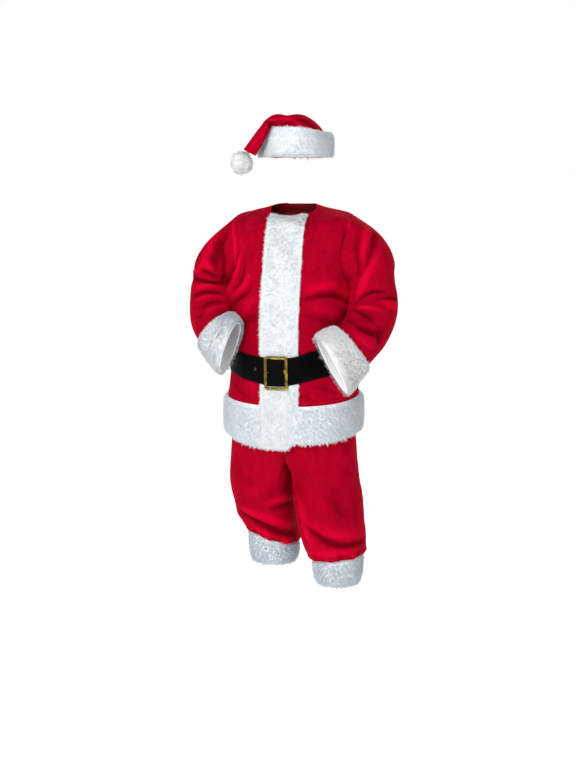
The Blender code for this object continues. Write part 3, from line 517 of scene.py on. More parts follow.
LEG_CREASES = {  # degrees round the leg from the inside seam, over the front; height
    RIGHT: table(CREASE, [
        (60, -1.106, 3, -1.099, -0.009, 0.009, -0.0075),
        (124, -1.132, 12, -1.197, 0.015, 0.010, -0.0140),
        (117, -1.109, 25, -1.170, -0.002, 0.012, 0.0080),
        (76, -1.192, 37, -1.205, -0.003, 0.008, -0.0070),
        (71, -1.080, 14, -1.064, -0.006, 0.010, 0.0060),
        (104, -1.188, 34, -1.210, 0.004, 0.010, 0.0070),
        (116, -0.959, 78, -1.018, 0.010, 0.014, -0.0018),
        (20, -0.985, 40, -1.050, -0.010, 0.013, -0.0030),
        (64, -1.010, 104, -1.070, 0.008, 0.018, 0.0020),
        (200, -1.000, 300, -1.030, 0.010, 0.016, -0.0060),
        (210, -1.060, 310, -1.085, -0.010, 0.016, 0.0060),
        (196, -1.130, 290, -1.120, 0.010, 0.013, -0.0080),
        (220, -1.170, 320, -1.180, -0.006, 0.012, 0.0070),
    ]),
    LEFT: table(CREASE, [
        (50, -1.126, 168, -1.206, -0.033, 0.010, -0.0105),
        (52, -1.071, 59, -1.200, -0.008, 0.012, 0.0070),
        (58, -1.225, 150, -1.221, -0.005, 0.012, 0.0070),
        (63, -1.131, 164, -1.171, -0.014, 0.016, 0.0055),
        (130, -0.934, 150, -0.979, -0.001, 0.012, -0.0015),
        (107, -1.044, 149, -1.113, -0.015, 0.014, -0.0018),
        (82, -0.880, 60, -1.017, 0.001, 0.012, -0.0022),
        (20, -1.010, 34, -1.090, 0.008, 0.013, -0.0035),
        (200, -1.010, 300, -1.040, 0.010, 0.016, -0.0060),
        (210, -1.075, 310, -1.095, -0.010, 0.016, 0.0060),
        (196, -1.150, 290, -1.140, 0.010, 0.013, -0.0080),
        (220, -1.195, 320, -1.205, -0.006, 0.012, 0.0070),
    ]),
}


def seam_start(height):
    """How far round the leg its inner edge lies, once the edge follows the seam under the fork."""
    t = np.clip((height - FORK) / (FORK_TOP - FORK), 0, 1)
    return FORK_SHARE * np.sin(np.pi / 2 * t)


def leg(side):
    """The form of one half of the trousers, the height of its foot and the push of its creases.
    round_it runs from 0 at the inside seam or the middle of the front, over 0.5 at the side
    seam, to 1 behind."""
    rows = LEGS[side]
    foot = rows["height"][0]
    creases = in_metres(LEG_CREASES[side], LEG_RADIUS)

    def ring(round_it, height):
        angle = TURN * round_it
        x, y, wide, deep = read_all(rows, "height", height)
        square = squared(angle, LEG_SQUARENESS)
        return x - side * wide * np.cos(angle) * square, y - deep * np.sin(angle) * square

    def hips(round_it, height):
        wide, front, back = read_all(HIPS, "height", height)
        past = np.clip((round_it - FORK_SHARE) / (1 - 2 * FORK_SHARE), 0, 1)
        theta = np.pi * past
        square = squared(theta, SQUARENESS)
        x = side * (wide * np.sin(theta) * square + INNER_LEG * (1 - np.sin(theta)))
        y = -np.where(np.cos(theta) > 0, front, back) * np.cos(theta) * square
        under = np.clip(np.minimum(round_it, 1 - round_it) / FORK_SHARE, 0, 1)
        return x, np.where((past == 0) | (past == 1), y * under, y)

    def plain(round_it, height):
        leg_x, leg_y = ring(round_it, height)
        hip_x, hip_y = hips(round_it, height)
        w = ease((height - FORK + BLEND_BELOW) / (FORK_TOP - FORK + BLEND_BELOW))
        begin = seam_start(height)
        start_x = (1 - w) * ring(begin, height)[0] + w * side * INNER_LEG
        closing = ease((height - FORK) / (FORK_TOP - FORK))
        wanted = side * (INNER_LEG + (0.2 * MM - INNER_LEG) * closing)
        near = np.minimum(round_it, 1 - round_it)
        t = np.clip((near - begin) / (0.5 - begin), 0, 1)
        pull = np.where(height > FORK, (wanted - start_x) * (1 - t) ** 3, 0.0)
        x = (1 - w) * leg_x + w * hip_x + pull
        y = (1 - w) * leg_y + w * hip_y
        low = np.exp(-(((height - foot) / LEAN_OVER) ** 2))
        return np.stack([x, y, height + LEANS[side] * (x - rows["x"][0]) * low], -1)

    def push(round_it, height):
        metres = TURN * round_it * LEG_RADIUS
        folds = creases_at(creases, metres, height)
        folds = folds + unevenness(metres, height, (1.0, 0.060, 13 + side), (0.4, 0.022, 17 + side))
        low = np.exp(-(((height - foot - GATHER_UP) / GATHER_OVER) ** 2))
        inside = ease(np.minimum(round_it, 1 - round_it) / 0.10)
        folds = folds * inside * (1 - ease((height - FOLDS_END) / FOLDS_FADE))
        gathers = np.cos(TURN * GATHERS * round_it) + 0.6 * np.cos(TURN * 2.6 * GATHERS * round_it + 1)
        return folds + GATHER[side] * gathers * low * inside

    def folded(round_it, height):
        return raised(plain, round_it, height, side * push(round_it, height))

    return folded, foot, push


# ---------------------------------------------------------------- the hat

HAT = table("low_x low_z high_x high_z half_depth y", [
    (-0.113, 0.182, 0.125, 0.182, 0.124, 0.000),
    (-0.113, 0.212, 0.124, 0.212, 0.123, 0.000),
    (-0.106, 0.240, 0.112, 0.243, 0.114, -0.002),
    (-0.101, 0.260, 0.088, 0.279, 0.104, -0.010),
    (-0.100, 0.268, 0.064, 0.300, 0.094, -0.024),
    (-0.098, 0.272, 0.036, 0.312, 0.082, -0.045),
    (-0.093, 0.273, 0.002, 0.306, 0.067, -0.070),
    (-0.080, 0.271, -0.034, 0.311, 0.049, -0.097),
    (-0.060, 0.266, -0.062, 0.294, 0.030, -0.125),
    (-0.068, 0.230, -0.083, 0.266, 0.021, -0.143),
    (-0.086, 0.196, -0.114, 0.226, 0.018, -0.148),
    (-0.104, 0.170, -0.143, 0.190, 0.015, -0.145),
])
HAT["along"] = run_of(
    (HAT["low_x"] + HAT["high_x"]) / 2, (HAT["low_z"] + HAT["high_z"]) / 2, HAT["half_depth"]
)
HAT_RADIUS = 0.10
HAT_CREASES = table(CREASE, [
    (147, 0.109, 69, 0.088, -0.007, 0.007, -0.0048),
    (103, 0.154, 107, 0.294, 0.069, 0.008, 0.0060),
    (122, 0.081, 165, 0.106, 0.001, 0.006, -0.0030),
    (136, 0.085, 96, 0.165, 0.008, 0.010, 0.0060),
    (84, 0.080, 50, 0.130, 0.008, 0.010, 0.0045),
    (158, 0.060, 136, 0.110, -0.006, 0.008, -0.0060),
    (100, 0.230, 96, 0.320, 0.005, 0.009, 0.0030),
    (60, 0.220, 70, 0.320, -0.004, 0.008, -0.0035),
    (-60, 0.070, -120, 0.130, 0.010, 0.010, -0.0060),
    (-96, 0.060, -140, 0.120, -0.008, 0.013, 0.0050),
])
BRIM_WIDTH, BRIM_LEAN, SIDES_LOWER = 0.085, 0.04, 0.20
POMPOM_AT = (-0.155, -0.137, 0.145)
POMPOM_RADIUS = 0.040
AT_TIP = 0.35  # share of the creases' depth that is left at the hat's narrow tip


def hat_plain(phi, along):
    """phi runs from the wearer's right over the front to the wearer's left and round the back."""
    low_x, low_z, high_x, high_z, half_depth, y = read_all(HAT, "along", along)
    across = (1 - np.cos(phi)) / 2
    x = low_x + (high_x - low_x) * across
    z = low_z + (high_z - low_z) * across
    return np.stack([x, y - half_depth * np.sin(phi), z], -1)


def hat_push(phi, along):
    round_it = ((phi + np.pi) % TURN - np.pi) * HAT_RADIUS
    folds = creases_at(in_metres(HAT_CREASES, HAT_RADIUS), round_it, along)
    folds = folds + unevenness(round_it, along, (0.7, 0.035, 23))
    wide = ease((HAT["along"][-1] - along) / 0.10)
    return folds * ease(along / 0.03 - 1) * (AT_TIP + (1 - AT_TIP) * wide)


def hat(phi, along):
    return raised(hat_plain, phi, along, hat_push(phi, along))


def brim_form(phi, along):
    """Upright over the lower half, then leaning in; lower at the wearer's sides."""
    steady = hat_plain(phi, 0.0 * along + 0.02)
    leaning = 1 - BRIM_LEAN * ease(2 * along / BRIM_WIDTH - 1)
    lower = 1 - SIDES_LOWER * np.cos(phi) ** 2
    z = HAT["low_z"][0] + along * lower
    return np.stack([steady[..., 0] * leaning, steady[..., 1] * leaning, z + 0 * phi], -1)


# ---------------------------------------------------------------- materials


class Value:
    """A shader socket that sums and products can be written with."""

    def __init__(self, paint, socket):
        self.paint, self.socket = paint, socket

    def _math(self, operation, *pair):
        return self.paint.node("ShaderNodeMath", {"operation": operation}, dict(enumerate(pair)))

    def __add__(self, other):
        return self._math("ADD", self, other)

    def __sub__(self, other):
        return self._math("SUBTRACT", self, other)

    def __rsub__(self, other):
        return self._math("SUBTRACT", other, self)

    def __mul__(self, other):
        return self._math("MULTIPLY", self, other)

    __radd__, __rmul__ = __add__, __mul__


class Paint:
    """A material under construction, with its Principled shader."""

    def __init__(self, name, **constants):
        self.material = bpy.data.materials.new(name)
        self.material.use_nodes = True
        self.tree = self.material.node_tree
        self.shader = self.tree.nodes["Principled BSDF"]
        for socket, value in constants.items():
            self.shader.inputs[socket.replace("_", " ")].default_value = value

    def node(self, kind, settings=None, inputs=None, output=0):
        made = self.tree.nodes.new(kind)
        for name, setting in (settings or {}).items():
            setattr(made, name, setting)
        for name, value in (inputs or {}).items():
            if isinstance(value, Value):
                self.tree.links.new(value.socket, made.inputs[name])
            else:
                made.inputs[name].default_value = value
        return Value(self, made.outputs[output])

    def place(self):
        return self.node("ShaderNodeTexCoord", output="Object")

    def uv(self):
        return self.node("ShaderNodeTexCoord", output="UV")

    def stretched(self, at, scale):
        return self.node("ShaderNodeMapping", inputs={"Vector": at, "Scale": scale})

    def attribute(self, name):
        return self.node("ShaderNodeAttribute", {"attribute_name": name}, output="Fac")

    def noise(self, at, scale, detail=2.0, roughness=0.5):
        sizes = {"Vector": at, "Scale": scale, "Detail": detail, "Roughness": roughness}
        return self.node("ShaderNodeTexNoise", inputs=sizes)

    def cells(self, at, scale):
        return self.node("ShaderNodeTexVoronoi", inputs={"Vector": at, "Scale": scale})

    def between(self, value, low, high, to_low=0.0, to_high=1.0):
        """The value's range from low to high, spread over another range."""
        ends = {"Value": value, 1: low, 2: high, 3: to_low, 4: to_high}
        return self.node("ShaderNodeMapRange", {"clamp": True}, ends)

    def mix(self, share, first, second):
        ends = {0: share, 6: first, 7: second}
        return self.node("ShaderNodeMix", {"data_type": "RGBA", "clamp_factor": True}, ends, output=2)

    def bump(self, height, distance, strength=1.0, under=None):
        sizes = {"Height": height, "Distance": distance, "Strength": strength}
        if under:
            sizes["Normal"] = under
        return self.node("ShaderNodeBump", inputs=sizes)

    def give(self, **links):
        for socket, value in links.items():
            self.tree.links.new(value.socket, self.shader.inputs[socket.replace("_", " ")])
        return self.material


def red_plush():
    paint = Paint("red_plush", Specular_IOR_Level=0.02, Sheen_Weight=0.40, Sheen_Roughness=0.35,
                  Sheen_Tint=(1.0, 0.0, 0.04, 1.0))
    place = paint.place()
    painted_crease_shade = paint.attribute("painted_crease_shade")
    nap = paint.noise(paint.stretched(paint.uv(), (22.0, 7.0, 1.0)), 1.0, 3.0, 0.6)
    brushed = paint.noise(place, 60.0, 3.0, 0.6)
    pile = paint.noise(place, 900.0, 2.0, 0.7)
    # the crease attribute paints shade into the troughs of the creases and highlight onto their ridges;
    # nap, brushed and pile are the velvet's own uneven tone
    tone = painted_crease_shade * 0.5 + (nap - 0.5) * 0.6 + (brushed - 0.5) * 0.3 + (pile - 0.5) * 0.5 + 0.46
    colour = paint.mix(paint.between(tone, 0.0, 1.0), (0.140, 0.0, 0.004, 1), (0.52, 0.0, 0.022, 1))
    rough = paint.between(pile + painted_crease_shade * 0.2, 0.2, 0.9, 0.92, 0.66)
    under = paint.bump(brushed, 0.0016, 0.5)
    normal = paint.bump(pile, 0.0006, 0.8, under)
    return paint.give(Base_Color=colour, Roughness=rough, Normal=normal)


def red_backing():
    """The knitted inner face of the plush."""
    paint = Paint("red_backing", Specular_IOR_Level=0.2)
    knit = paint.node("ShaderNodeTexWave", {"wave_type": "BANDS"},
                      {"Vector": paint.uv(), "Scale": 330.0, "Distortion": 1.2})
    worn = paint.noise(paint.place(), 40.0, 3.0)
    colour = paint.mix(knit * 0.5 + worn * 0.5, (0.20, 0.002, 0.008, 1), (0.36, 0.006, 0.02, 1))
    rough = paint.between(worn, 0.3, 0.7, 0.95, 0.85)
    return paint.give(Base_Color=colour, Roughness=rough, Normal=paint.bump(knit, 0.0004, 0.6))


def white_fur():
    """The hairs: greyer at their roots, where shade between the hairs is painted in, paler at their tips,
    a little uneven from lock to lock.
    """
    paint = Paint("white_fur", Specular_IOR_Level=0.1, Sheen_Weight=0.45, Sheen_Roughness=0.5)
    tip = paint.attribute("tip")
    lock = paint.attribute("lock")
    cloud = paint.noise(paint.place(), 24.0, 3.0, 0.55)
    # tip paints shade at the hairs' roots, toward the bluish grey, and leaves the tips pale; lock and
    # cloud are the fur's own uneven paleness
    shade = tip * 0.2 + lock * 0.6 + paint.between(cloud, 0.3, 0.7) * 0.2
    colour = paint.mix(shade, (0.47, 0.555, 0.62, 1), (0.93, 0.935, 0.945, 1))
    return paint.give(Base_Color=colour, Roughness=paint.between(lock, 0.0, 1.0, 0.80, 0.95))


def fur_ground():
    """The pelt under the hairs, and its woven back."""
    paint = Paint("fur_ground", Specular_IOR_Level=0.15, Sheen_Weight=0.3, Sheen_Roughness=0.5)
    place = paint.place()
    tuft = paint.noise(place, 420.0, 3.0, 0.65)
    cloud = paint.noise(place, 30.0, 3.0, 0.55)
    colour = paint.mix(tuft * 0.5 + cloud * 0.5, (0.80, 0.84, 0.88, 1), (0.94, 0.94, 0.94, 1))
    rough = paint.between(tuft, 0.3, 0.7, 0.95, 0.82)
    return paint.give(Base_Color=colour, Roughness=rough, Normal=paint.bump(tuft, 0.0020, 0.7))


def black_strap():
    paint = Paint("black_strap", Specular_IOR_Level=0.03)
    place = paint.place()
    grain = paint.cells(place, 1100.0)
    scuff = paint.noise(place, 26.0, 4.0, 0.6)
    fine = paint.noise(place, 240.0, 2.0)
    edge = paint.attribute("edge")
    worn = scuff * 0.4 + edge * 0.6
    colour = paint.mix(worn, (0.0006, 0.0006, 0.0008, 1), (0.0040, 0.0032, 0.0032, 1))
    rough = paint.between(scuff * 0.7 + fine * 0.3, 0.3, 0.7, 0.38, 0.58)
    normal = paint.bump(grain, 0.00025, 0.5, paint.bump(fine, 0.0008, 0.25))
    return paint.give(Base_Color=colour, Roughness=rough, Normal=normal)


def aged_brass():
    paint = Paint("aged_brass")
    place = paint.place()
    cloud = paint.noise(place, 55.0, 4.0, 0.65)
    speck = paint.noise(place, 700.0, 2.0, 0.6)
    worn = paint.between(cloud * 0.7 + speck * 0.3, 0.40, 0.62)
    colour = paint.mix(worn, (0.060, 0.040, 0.006, 1), (0.270, 0.195, 0.032, 1))
    rough = paint.between(worn, 0.0, 1.0, 0.52, 0.28)
    metal = paint.between(worn, 0.0, 1.0, 0.82, 1.0)
    normal = paint.bump(speck, 0.0002, 0.4)
    return paint.give(Base_Color=colour, Roughness=rough, Metallic=metal, Normal=normal)


def elastic_casing():
    paint = Paint("elastic_casing", Specular_IOR_Level=0.2, Sheen_Weight=0.3)
    ribs = paint.node("ShaderNodeTexWave", {"wave_type": "BANDS", "bands_direction": "Y"},
                      {"Vector": paint.uv(), "Scale": 160.0, "Distortion": 0.6})
    cloud = paint.noise(paint.place(), 50.0, 3.0)
    colour = paint.mix(ribs * 0.4 + cloud * 0.6, (0.20, 0.002, 0.008, 1), (0.42, 0.005, 0.018, 1))
    rough = paint.between(cloud, 0.3, 0.7, 0.95, 0.80)
    return paint.give(Base_Color=colour, Roughness=rough, Normal=paint.bump(ribs, 0.0006, 0.6))


# near-black colour for a flat disc that stands for the shade inside a punched hole
def painted_hole_shade():
    paint = Paint("painted_hole_shade", Specular_IOR_Level=0.2)
    cloud = paint.noise(paint.place(), 300.0, 2.0)
    colour = paint.mix(cloud, (0.002, 0.002, 0.002, 1), (0.010, 0.009, 0.008, 1))
    return paint.give(Base_Color=colour, Roughness=paint.between(cloud, 0.3, 0.7, 0.9, 0.7))


PLUSH_RED, BACKING, FUR_WHITE, GROUND = red_plush(), red_backing(), white_fur(), fur_ground()
LEATHER, BRASS, CASING, HOLE_SHADE = black_strap(), aged_brass(), elastic_casing(), painted_hole_shade()

# ---------------------------------------------------------------- making pieces


def finish(name, mesh, materials, node=None):
    """A piece of the suit from its mesh, shown for the node that it stands for."""
    piece = bpy.data.objects.new(name, mesh)
    bpy.context.scene.collection.objects.link(piece)
    for material in materials:
        mesh.materials.append(material)
    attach(piece, "root")
    if node:
        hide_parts(node)
    return piece


def finish_work(name, work, material, node=None, sharp=None):
    """A piece from a bmesh, smooth but for edges sharper than that many degrees."""
    mesh = bpy.data.meshes.new(name)
    work.to_mesh(mesh)
    work.free()
    mesh.shade_smooth()
    if sharp:
        mesh.set_sharp_from_angle(angle=np.radians(sharp))
    return finish(name, mesh, (material,), node)


def put(mesh, name, kind, domain, values):
    """Stores a value for each point or corner of a mesh."""
    layer = mesh.attributes.new(name, kind, domain)
    layer.data.foreach_set("value", np.ascontiguousarray(values, np.float32).ravel())


SEAM_DEPTH, SEAM_WIDTH = 0.9 * MM, 4.5 * MM


def edge_dips(points, edges):
    """How far the cloth sinks beside the seams at its edges: first and last column, first and
    last row."""
    dip = np.zeros(points.shape[:2])
    for axis in (1, 0):
        steps = np.linalg.norm(np.diff(points, axis=axis), axis=-1)
        run = np.concatenate([np.zeros_like(np.take(steps, [0], axis)), np.cumsum(steps, axis)], axis)
        left = np.take(run, [-1], axis) - run
        first, last = edges[:2] if axis == 1 else edges[2:]
        for is_seam, distance in ((first, run), (last, left)):
            if is_seam:
                dip = dip - SEAM_DEPTH * np.exp(-((distance / SEAM_WIDTH) ** 2))
    return dip


def cut_size(points):
    """The width, length and area of a grid of cloth laid flat, along its own threads."""
    across = np.linalg.norm(np.diff(points, axis=1), axis=-1)
    down = np.linalg.norm(np.diff(points, axis=0), axis=-1)
    cells = ((across[1:] + across[:-1]) / 2) * ((down[:, 1:] + down[:, :-1]) / 2)
    return across.sum(axis=1).max(), down.sum(axis=0).max(), cells.sum()


def declare_cut(piece, inner, held, **more):
    """Works out the width, length and area of the sheet that a piece is cut from, by the grid of its
    inner face; nothing is done with them.
    """
    width, length, area = cut_size(inner)


SHARP_EDGE = np.radians(62)


def slab(name, inner, outer, materials, node, attributes=None):
    """A grid cut flat, extruded to its thickness, and laid on its inner and outer points."""
    rows, columns = inner.shape[:2]
    work = bmesh.new()
    bmesh.ops.create_grid(work, x_segments=columns - 1, y_segments=rows - 1, size=0.5)
    thick = bmesh.ops.extrude_face_region(work, geom=work.faces[:], use_keep_orig=True)["geom"]
    lifted = [v for v in thick if isinstance(v, bmesh.types.BMVert)]
    bmesh.ops.translate(work, vec=(0, 0, 1), verts=lifted)
    bmesh.ops.recalc_face_normals(work, faces=work.faces[:])
    mesh = bpy.data.meshes.new(name)
    work.to_mesh(mesh)
    work.free()
    flat = np.empty(len(mesh.vertices) * 3, np.float32)
    mesh.vertices.foreach_get("co", flat)
    flat = flat.reshape(-1, 3)
    row = np.rint((flat[:, 1] + 0.5) * (rows - 1)).astype(int)
    column = np.rint((flat[:, 0] + 0.5) * (columns - 1)).astype(int)
    is_outer = flat[:, 2] > 0.5
    placed = np.where(is_outer[:, None], outer[row, column], inner[row, column])
    mesh.vertices.foreach_set("co", placed.astype(np.float32).ravel())
    mesh.update()
    work = bmesh.new()
    work.from_mesh(mesh)
    if work.calc_volume(signed=True) < 0:
        bmesh.ops.reverse_faces(work, faces=work.faces[:])
    work.to_mesh(mesh)
    work.free()
    for label, values in (attributes or {}).items():
        put(mesh, label, "FLOAT", "POINT", np.broadcast_to(values, (rows, columns))[row, column])
    corner = np.empty(len(mesh.loops), np.int32)
    mesh.loops.foreach_get("vertex_index", corner)
    across = np.concatenate(
        [np.zeros((rows, 1)), np.cumsum(np.linalg.norm(np.diff(inner, axis=1), axis=-1), axis=1)], 1
    )
    across = across - across[:, columns // 2][:, None]
    down = run_of(*inner[:, columns // 2].T)
    uv = np.stack([across[row, column][corner], down[row][corner]], -1)
    layer = mesh.uv_layers.new(name="metres")
    layer.data.foreach_set("uv", uv.astype(np.float32).ravel())
    mesh.shade_smooth()
    mesh.set_sharp_from_angle(angle=SHARP_EDGE)
    piece = finish(name, mesh, materials, node)
    if len(materials) > 1:
        for face in mesh.polygons:
            face.material_index = 0 if is_outer[face.vertices].any() else 1
    return piece


# the creases' push, scaled by this, sets the shade painted into troughs and the highlight painted onto
# ridges
FULL_CREASE = 6.0 * MM  # a push as large as this has the whole of a crease's shade


def cloth(name, surface, us, vs, seams, push, fit=None, facing=1):
    """A panel of plush wrapped on a surface; the size of the sheet that it was cut from is worked out but
    not kept.
    seams says which of its first and last column and row are sewn, and push gives its creases."""
    us, vs = np.broadcast_arrays(us, vs)
    out = facing * outward(surface, us, vs)
    base = surface(us, vs)
    inner = base + out * edge_dips(base, seams)[..., None]
    outer = inner + out * PLUSH
    if fit:
        inner, outer = fit(inner), fit(outer)
    # painted shade in the troughs and painted highlight on the ridges, as much as the creases push
    shade = {"painted_crease_shade": np.clip(push(us, vs) / FULL_CREASE, -1, 1)}
    materials = (PLUSH_RED, BACKING)
    piece = slab(f"{name}_cloth", inner, outer, materials, name, shade)
    declare_cut(piece, inner, "hung")


GROUND_SHARE = 0.70  # how much of the fur's depth the ground of dense under-hair takes
GROUND_GRAIN = 5.0 * MM
HAIR_SPACING = 2.3 * MM
HAIR_THICK = 1.25 * MM
HAIR_BELOW = 1.2 * MM  # how deep a hair's root is sunk
LOCK, LOCK_LONG = 9.0 * MM, 14.0 * MM  # the tufts that the hairs draw together into
EDGE_ROW = 12.0 * MM  # how far in from an edge the hairs turn out over it
SPILL, SWIRL, STRAY = 1.3, 0.30, 0.16  # leans: over an edge, in broad swirls, hair by hair
SWIRL_SIZE = 0.030
DRAWN_IN, LOCK_SHADE = 0.32, 0.26  # how far a tuft draws its tips in and turns their shading
FURS = {  # the way the hairs lie, how far they spill over the left and right edge, foot and top
    "cuff_left": dict(nap=0.55, edges=(0, 0, 0.6, 0.9), seed=41, paleness=1.0, tufts=0.8),
    "cuff_right": dict(nap=0.55, edges=(0, 0, 0.6, 0.9), seed=39, paleness=0.3, tufts=0.8),
    "front_band": dict(nap=-0.45, edges=(0.55, 0.55, 0.7, 0.3), seed=61, paleness=0.68, tufts=0.6),
    "hem_band": dict(nap=-0.5, edges=(0, 0, 0.8, 0.35), seed=67, paleness=0.36, tufts=0.85),
    "leg_cuff_left": dict(nap=-0.5, edges=(0, 0, 0.9, 0.7), seed=91, paleness=0.0, tufts=0.9),
    "leg_cuff_right": dict(nap=-0.5, edges=(0, 0, 0.9, 0.7), seed=89, paleness=0.0, tufts=0.9),
    "hat_brim": dict(nap=-0.15, edges=(0, 0, 0.7, 0.7), seed=101, paleness=0.35, tufts=0.7),
}


def fur(name, skin, size, depth, bare=None):
    """A strip of fur: its ground as a sheet, and its hairs. skin(a, b) is the surface it is laid
    on, for a and b from 0 to 1. size is its real width and length, depth(a, b) the fur's
    thickness, and no hair grows where bare(a, b) is true."""
    seed = FURS[name]["seed"]
    columns, rows = (max(int(s / GROUND_GRAIN), 6) for s in size)
    a, b = np.meshgrid(np.linspace(0, 1, columns + 1), np.linspace(0, 1, rows + 1))

    def ground(a, b):
        full = depth(a, b)
        clumps = unevenness(a * size[0], b * size[1], (1.3, 0.013, seed), (0.7, 0.006, seed + 1))
        return raised(skin, a, b, full * GROUND_SHARE + clumps * np.clip(full / FUR, 0.2, 1))

    inner = skin(a, b)
    pelt = slab(f"{name}_ground", inner, ground(a, b), (GROUND,), name)
    strands = pile(name, skin, ground, size, depth, bare, **FURS[name])
    declare_cut(pelt, inner, "hung", with_pieces=[strands])


def pile(name, skin, ground, size, depth, bare, nap, edges, seed, paleness, tufts):
    """The hairs of a strip of fur. paleness is how white they are, from 0 to 1, and tufts how
    strongly they draw together."""
    draw = np.random.default_rng(seed)
    count = [max(int(s / HAIR_SPACING), 4) for s in size]
    i, j = np.meshgrid(np.arange(count[0]), np.arange(count[1]))
    a = ((i + draw.random(i.shape)) / count[0]).ravel()
    b = ((j + draw.random(i.shape)) / count[1]).ravel()
    if bare:
        kept = ~bare(a, b)
        a, b = a[kept], b[kept]
    step = 2e-3
    root = ground(a, b)
    out = outward(skin, a, b, 1e-3)
    right = unit(skin(a + step, b) - skin(a - step, b))
    up = unit(np.cross(out, right))
    x, y = a * size[0], b * size[1]
    cell_x, cell_y, to_x, to_y = nearest_lock(x, y, seed)
    towards = right * to_x[:, None] + up * to_y[:, None]
    spill = [
        after * np.clip(1 - (whole - at) / EDGE_ROW, 0, 1) - before * np.clip(1 - at / EDGE_ROW, 0, 1)
        for at, whole, before, after in zip((x, y), size, edges[::2], edges[1::2])
    ]
    at_edge = np.abs(spill).max(axis=0)
    lean = [
        lie + SWIRL * rumple(x, y, SWIRL_SIZE, salt) + SPILL * over + STRAY * draw.standard_normal(x.size)
        for lie, over, salt in zip((0.0, nap), spill, (seed + 2, seed + 3))
    ]
    upright = np.clip(1 - 0.45 * at_edge, 0.3, 1)
    way = unit(out * upright[:, None] + right * lean[0][:, None] + up * lean[1][:, None])
    uneven = 0.4 * (scatter(cell_x, cell_y, seed + 9) - 0.5) - 0.2 * np.hypot(to_x, to_y) / LOCK
    share = (1 + tufts * uneven) * draw.uniform(0.75, 1.2, len(a))
    share = share * (1 + at_edge * (0.1 + 1.1 * scatter(cell_x, cell_y, seed + 13)))
    free = depth(a, b) * (1.12 - GROUND_SHARE) + 2.5 * MM
    length = free * share / np.clip((way * out).sum(-1), 0.55, 1)
    tip = root + way * length[:, None] + DRAWN_IN * tufts * towards
    shown = unit(out - LOCK_SHADE * tufts * towards / LOCK + 0.25 * way)
    tone = paleness + 0.22 * tufts * (scatter(cell_x, cell_y, seed + 20) - 0.5)
    return hairs(name, root, tip, out, right, shown, draw, tone)


def nearest_lock(x, y, seed):
    """The cell of the lock that each hair belongs to, and the way to the lock's middle."""
    found = [np.zeros_like(x) for _ in range(4)]
    nearest = np.full_like(x, np.inf)
    for step_x, step_y in itertools.product((-1, 0, 1), repeat=2):
        cell_x, cell_y = np.floor(x / LOCK) + step_x, np.floor(y / LOCK_LONG) + step_y
        to_x = (cell_x + scatter(cell_x, cell_y, seed)) * LOCK - x
        to_y = (cell_y + scatter(cell_y, cell_x, seed + 5)) * LOCK_LONG - y
        gap = np.hypot(to_x, to_y * LOCK / LOCK_LONG)
        fresh = (cell_x, cell_y, to_x, to_y)
        found = [np.where(gap < nearest, new, old) for new, old in zip(fresh, found)]
        nearest = np.minimum(gap, nearest)
    return found


def hairs(node, root, tip, out, right, shown, draw, lock):
    """One mesh of slim closed spikes of three sides, each from a root to a tip, shaded as if they
    faced the way that shown gives. lock is how pale each one is."""
    turn = draw.random(len(root)) * TURN
    up = np.cross(out, right)
    corners = [root - out * HAIR_BELOW + HAIR_THICK * (
        right * np.cos(turn + k * TURN / 3)[:, None] + up * np.sin(turn + k * TURN / 3)[:, None]
    ) for k in range(3)]
    points = np.stack([*corners, tip], 1).reshape(-1, 3)
    faces = np.array([(0, 1, 3), (1, 2, 3), (2, 0, 3), (0, 2, 1)])
    faces = (faces[None] + 4 * np.arange(len(root))[:, None, None]).reshape(-1, 3)
    mesh = bpy.data.meshes.new(f"{node}_pile")
    mesh.vertices.add(len(points))
    mesh.vertices.foreach_set("co", points.astype(np.float32).ravel())
    mesh.loops.add(faces.size)
    mesh.loops.foreach_set("vertex_index", faces.astype(np.int32).ravel())
    mesh.polygons.add(len(faces))
    mesh.polygons.foreach_set("loop_start", np.arange(0, faces.size, 3, dtype=np.int32))
    mesh.update(calc_edges=True)
    # tip is 0 at the root corners and 1 at the tip, for the shade painted at the roots
    put(mesh, "tip", "FLOAT", "POINT", np.tile([0.0, 0.0, 0.0, 1.0], len(root)))
    put(mesh, "lock", "FLOAT", "POINT", np.repeat(lock, 4))
    mesh.shade_smooth()
    mesh.normals_split_custom_set_from_vertices(np.repeat(shown, 4, 0).tolist())
    return finish(mesh.name, mesh, (FUR_WHITE,), node)


# ---------------------------------------------------------------- the jacket

HALF_GAP = 0.2 * MM
BAND_HALF_WIDTH = 0.0665
BAND_MIDDLE = -0.002
PANEL_FOOT = 0.010
# how much higher the hem is at each angle: the right front's edge laps lower
HEM_RISE = table("across rise", [
    (-180, 0.020), (-110, 0.022), (-80, 0.022), (-45, 0.013), (-18, 0.001), (8, 0.000),
    (15, 0.017), (45, 0.019), (80, 0.022), (180, 0.020),
])
SIDE_GAP, ARM_GAP, HAT_GAP = HALF_GAP / 0.13, HALF_GAP / 0.07, HALF_GAP / 0.12  # as angles
GRAIN = 6.0 * MM
UNDER_BAND, BESIDE_BAND, ACROSS_BACK = 5, 58, 84  # columns of the panels

psi_rows = np.linspace(np.pi, 0, 54)
_, armhole_rows = armhole(LEFT, psi_rows)
low_rows = np.linspace(PANEL_FOOT, ARMHOLE_BOTTOM, int((ARMHOLE_BOTTOM - PANEL_FOOT) / GRAIN))[:-1]
top_rows = np.linspace(ARMHOLE_TOP, NECK, int((NECK - ARMHOLE_TOP) / GRAIN) + 4)[1:]
body_rows = np.concatenate([low_rows, armhole_rows, top_rows])
reach_rows = np.concatenate([0 * low_rows, ARMHOLE_REACH * np.sin(psi_rows), 0 * top_rows])


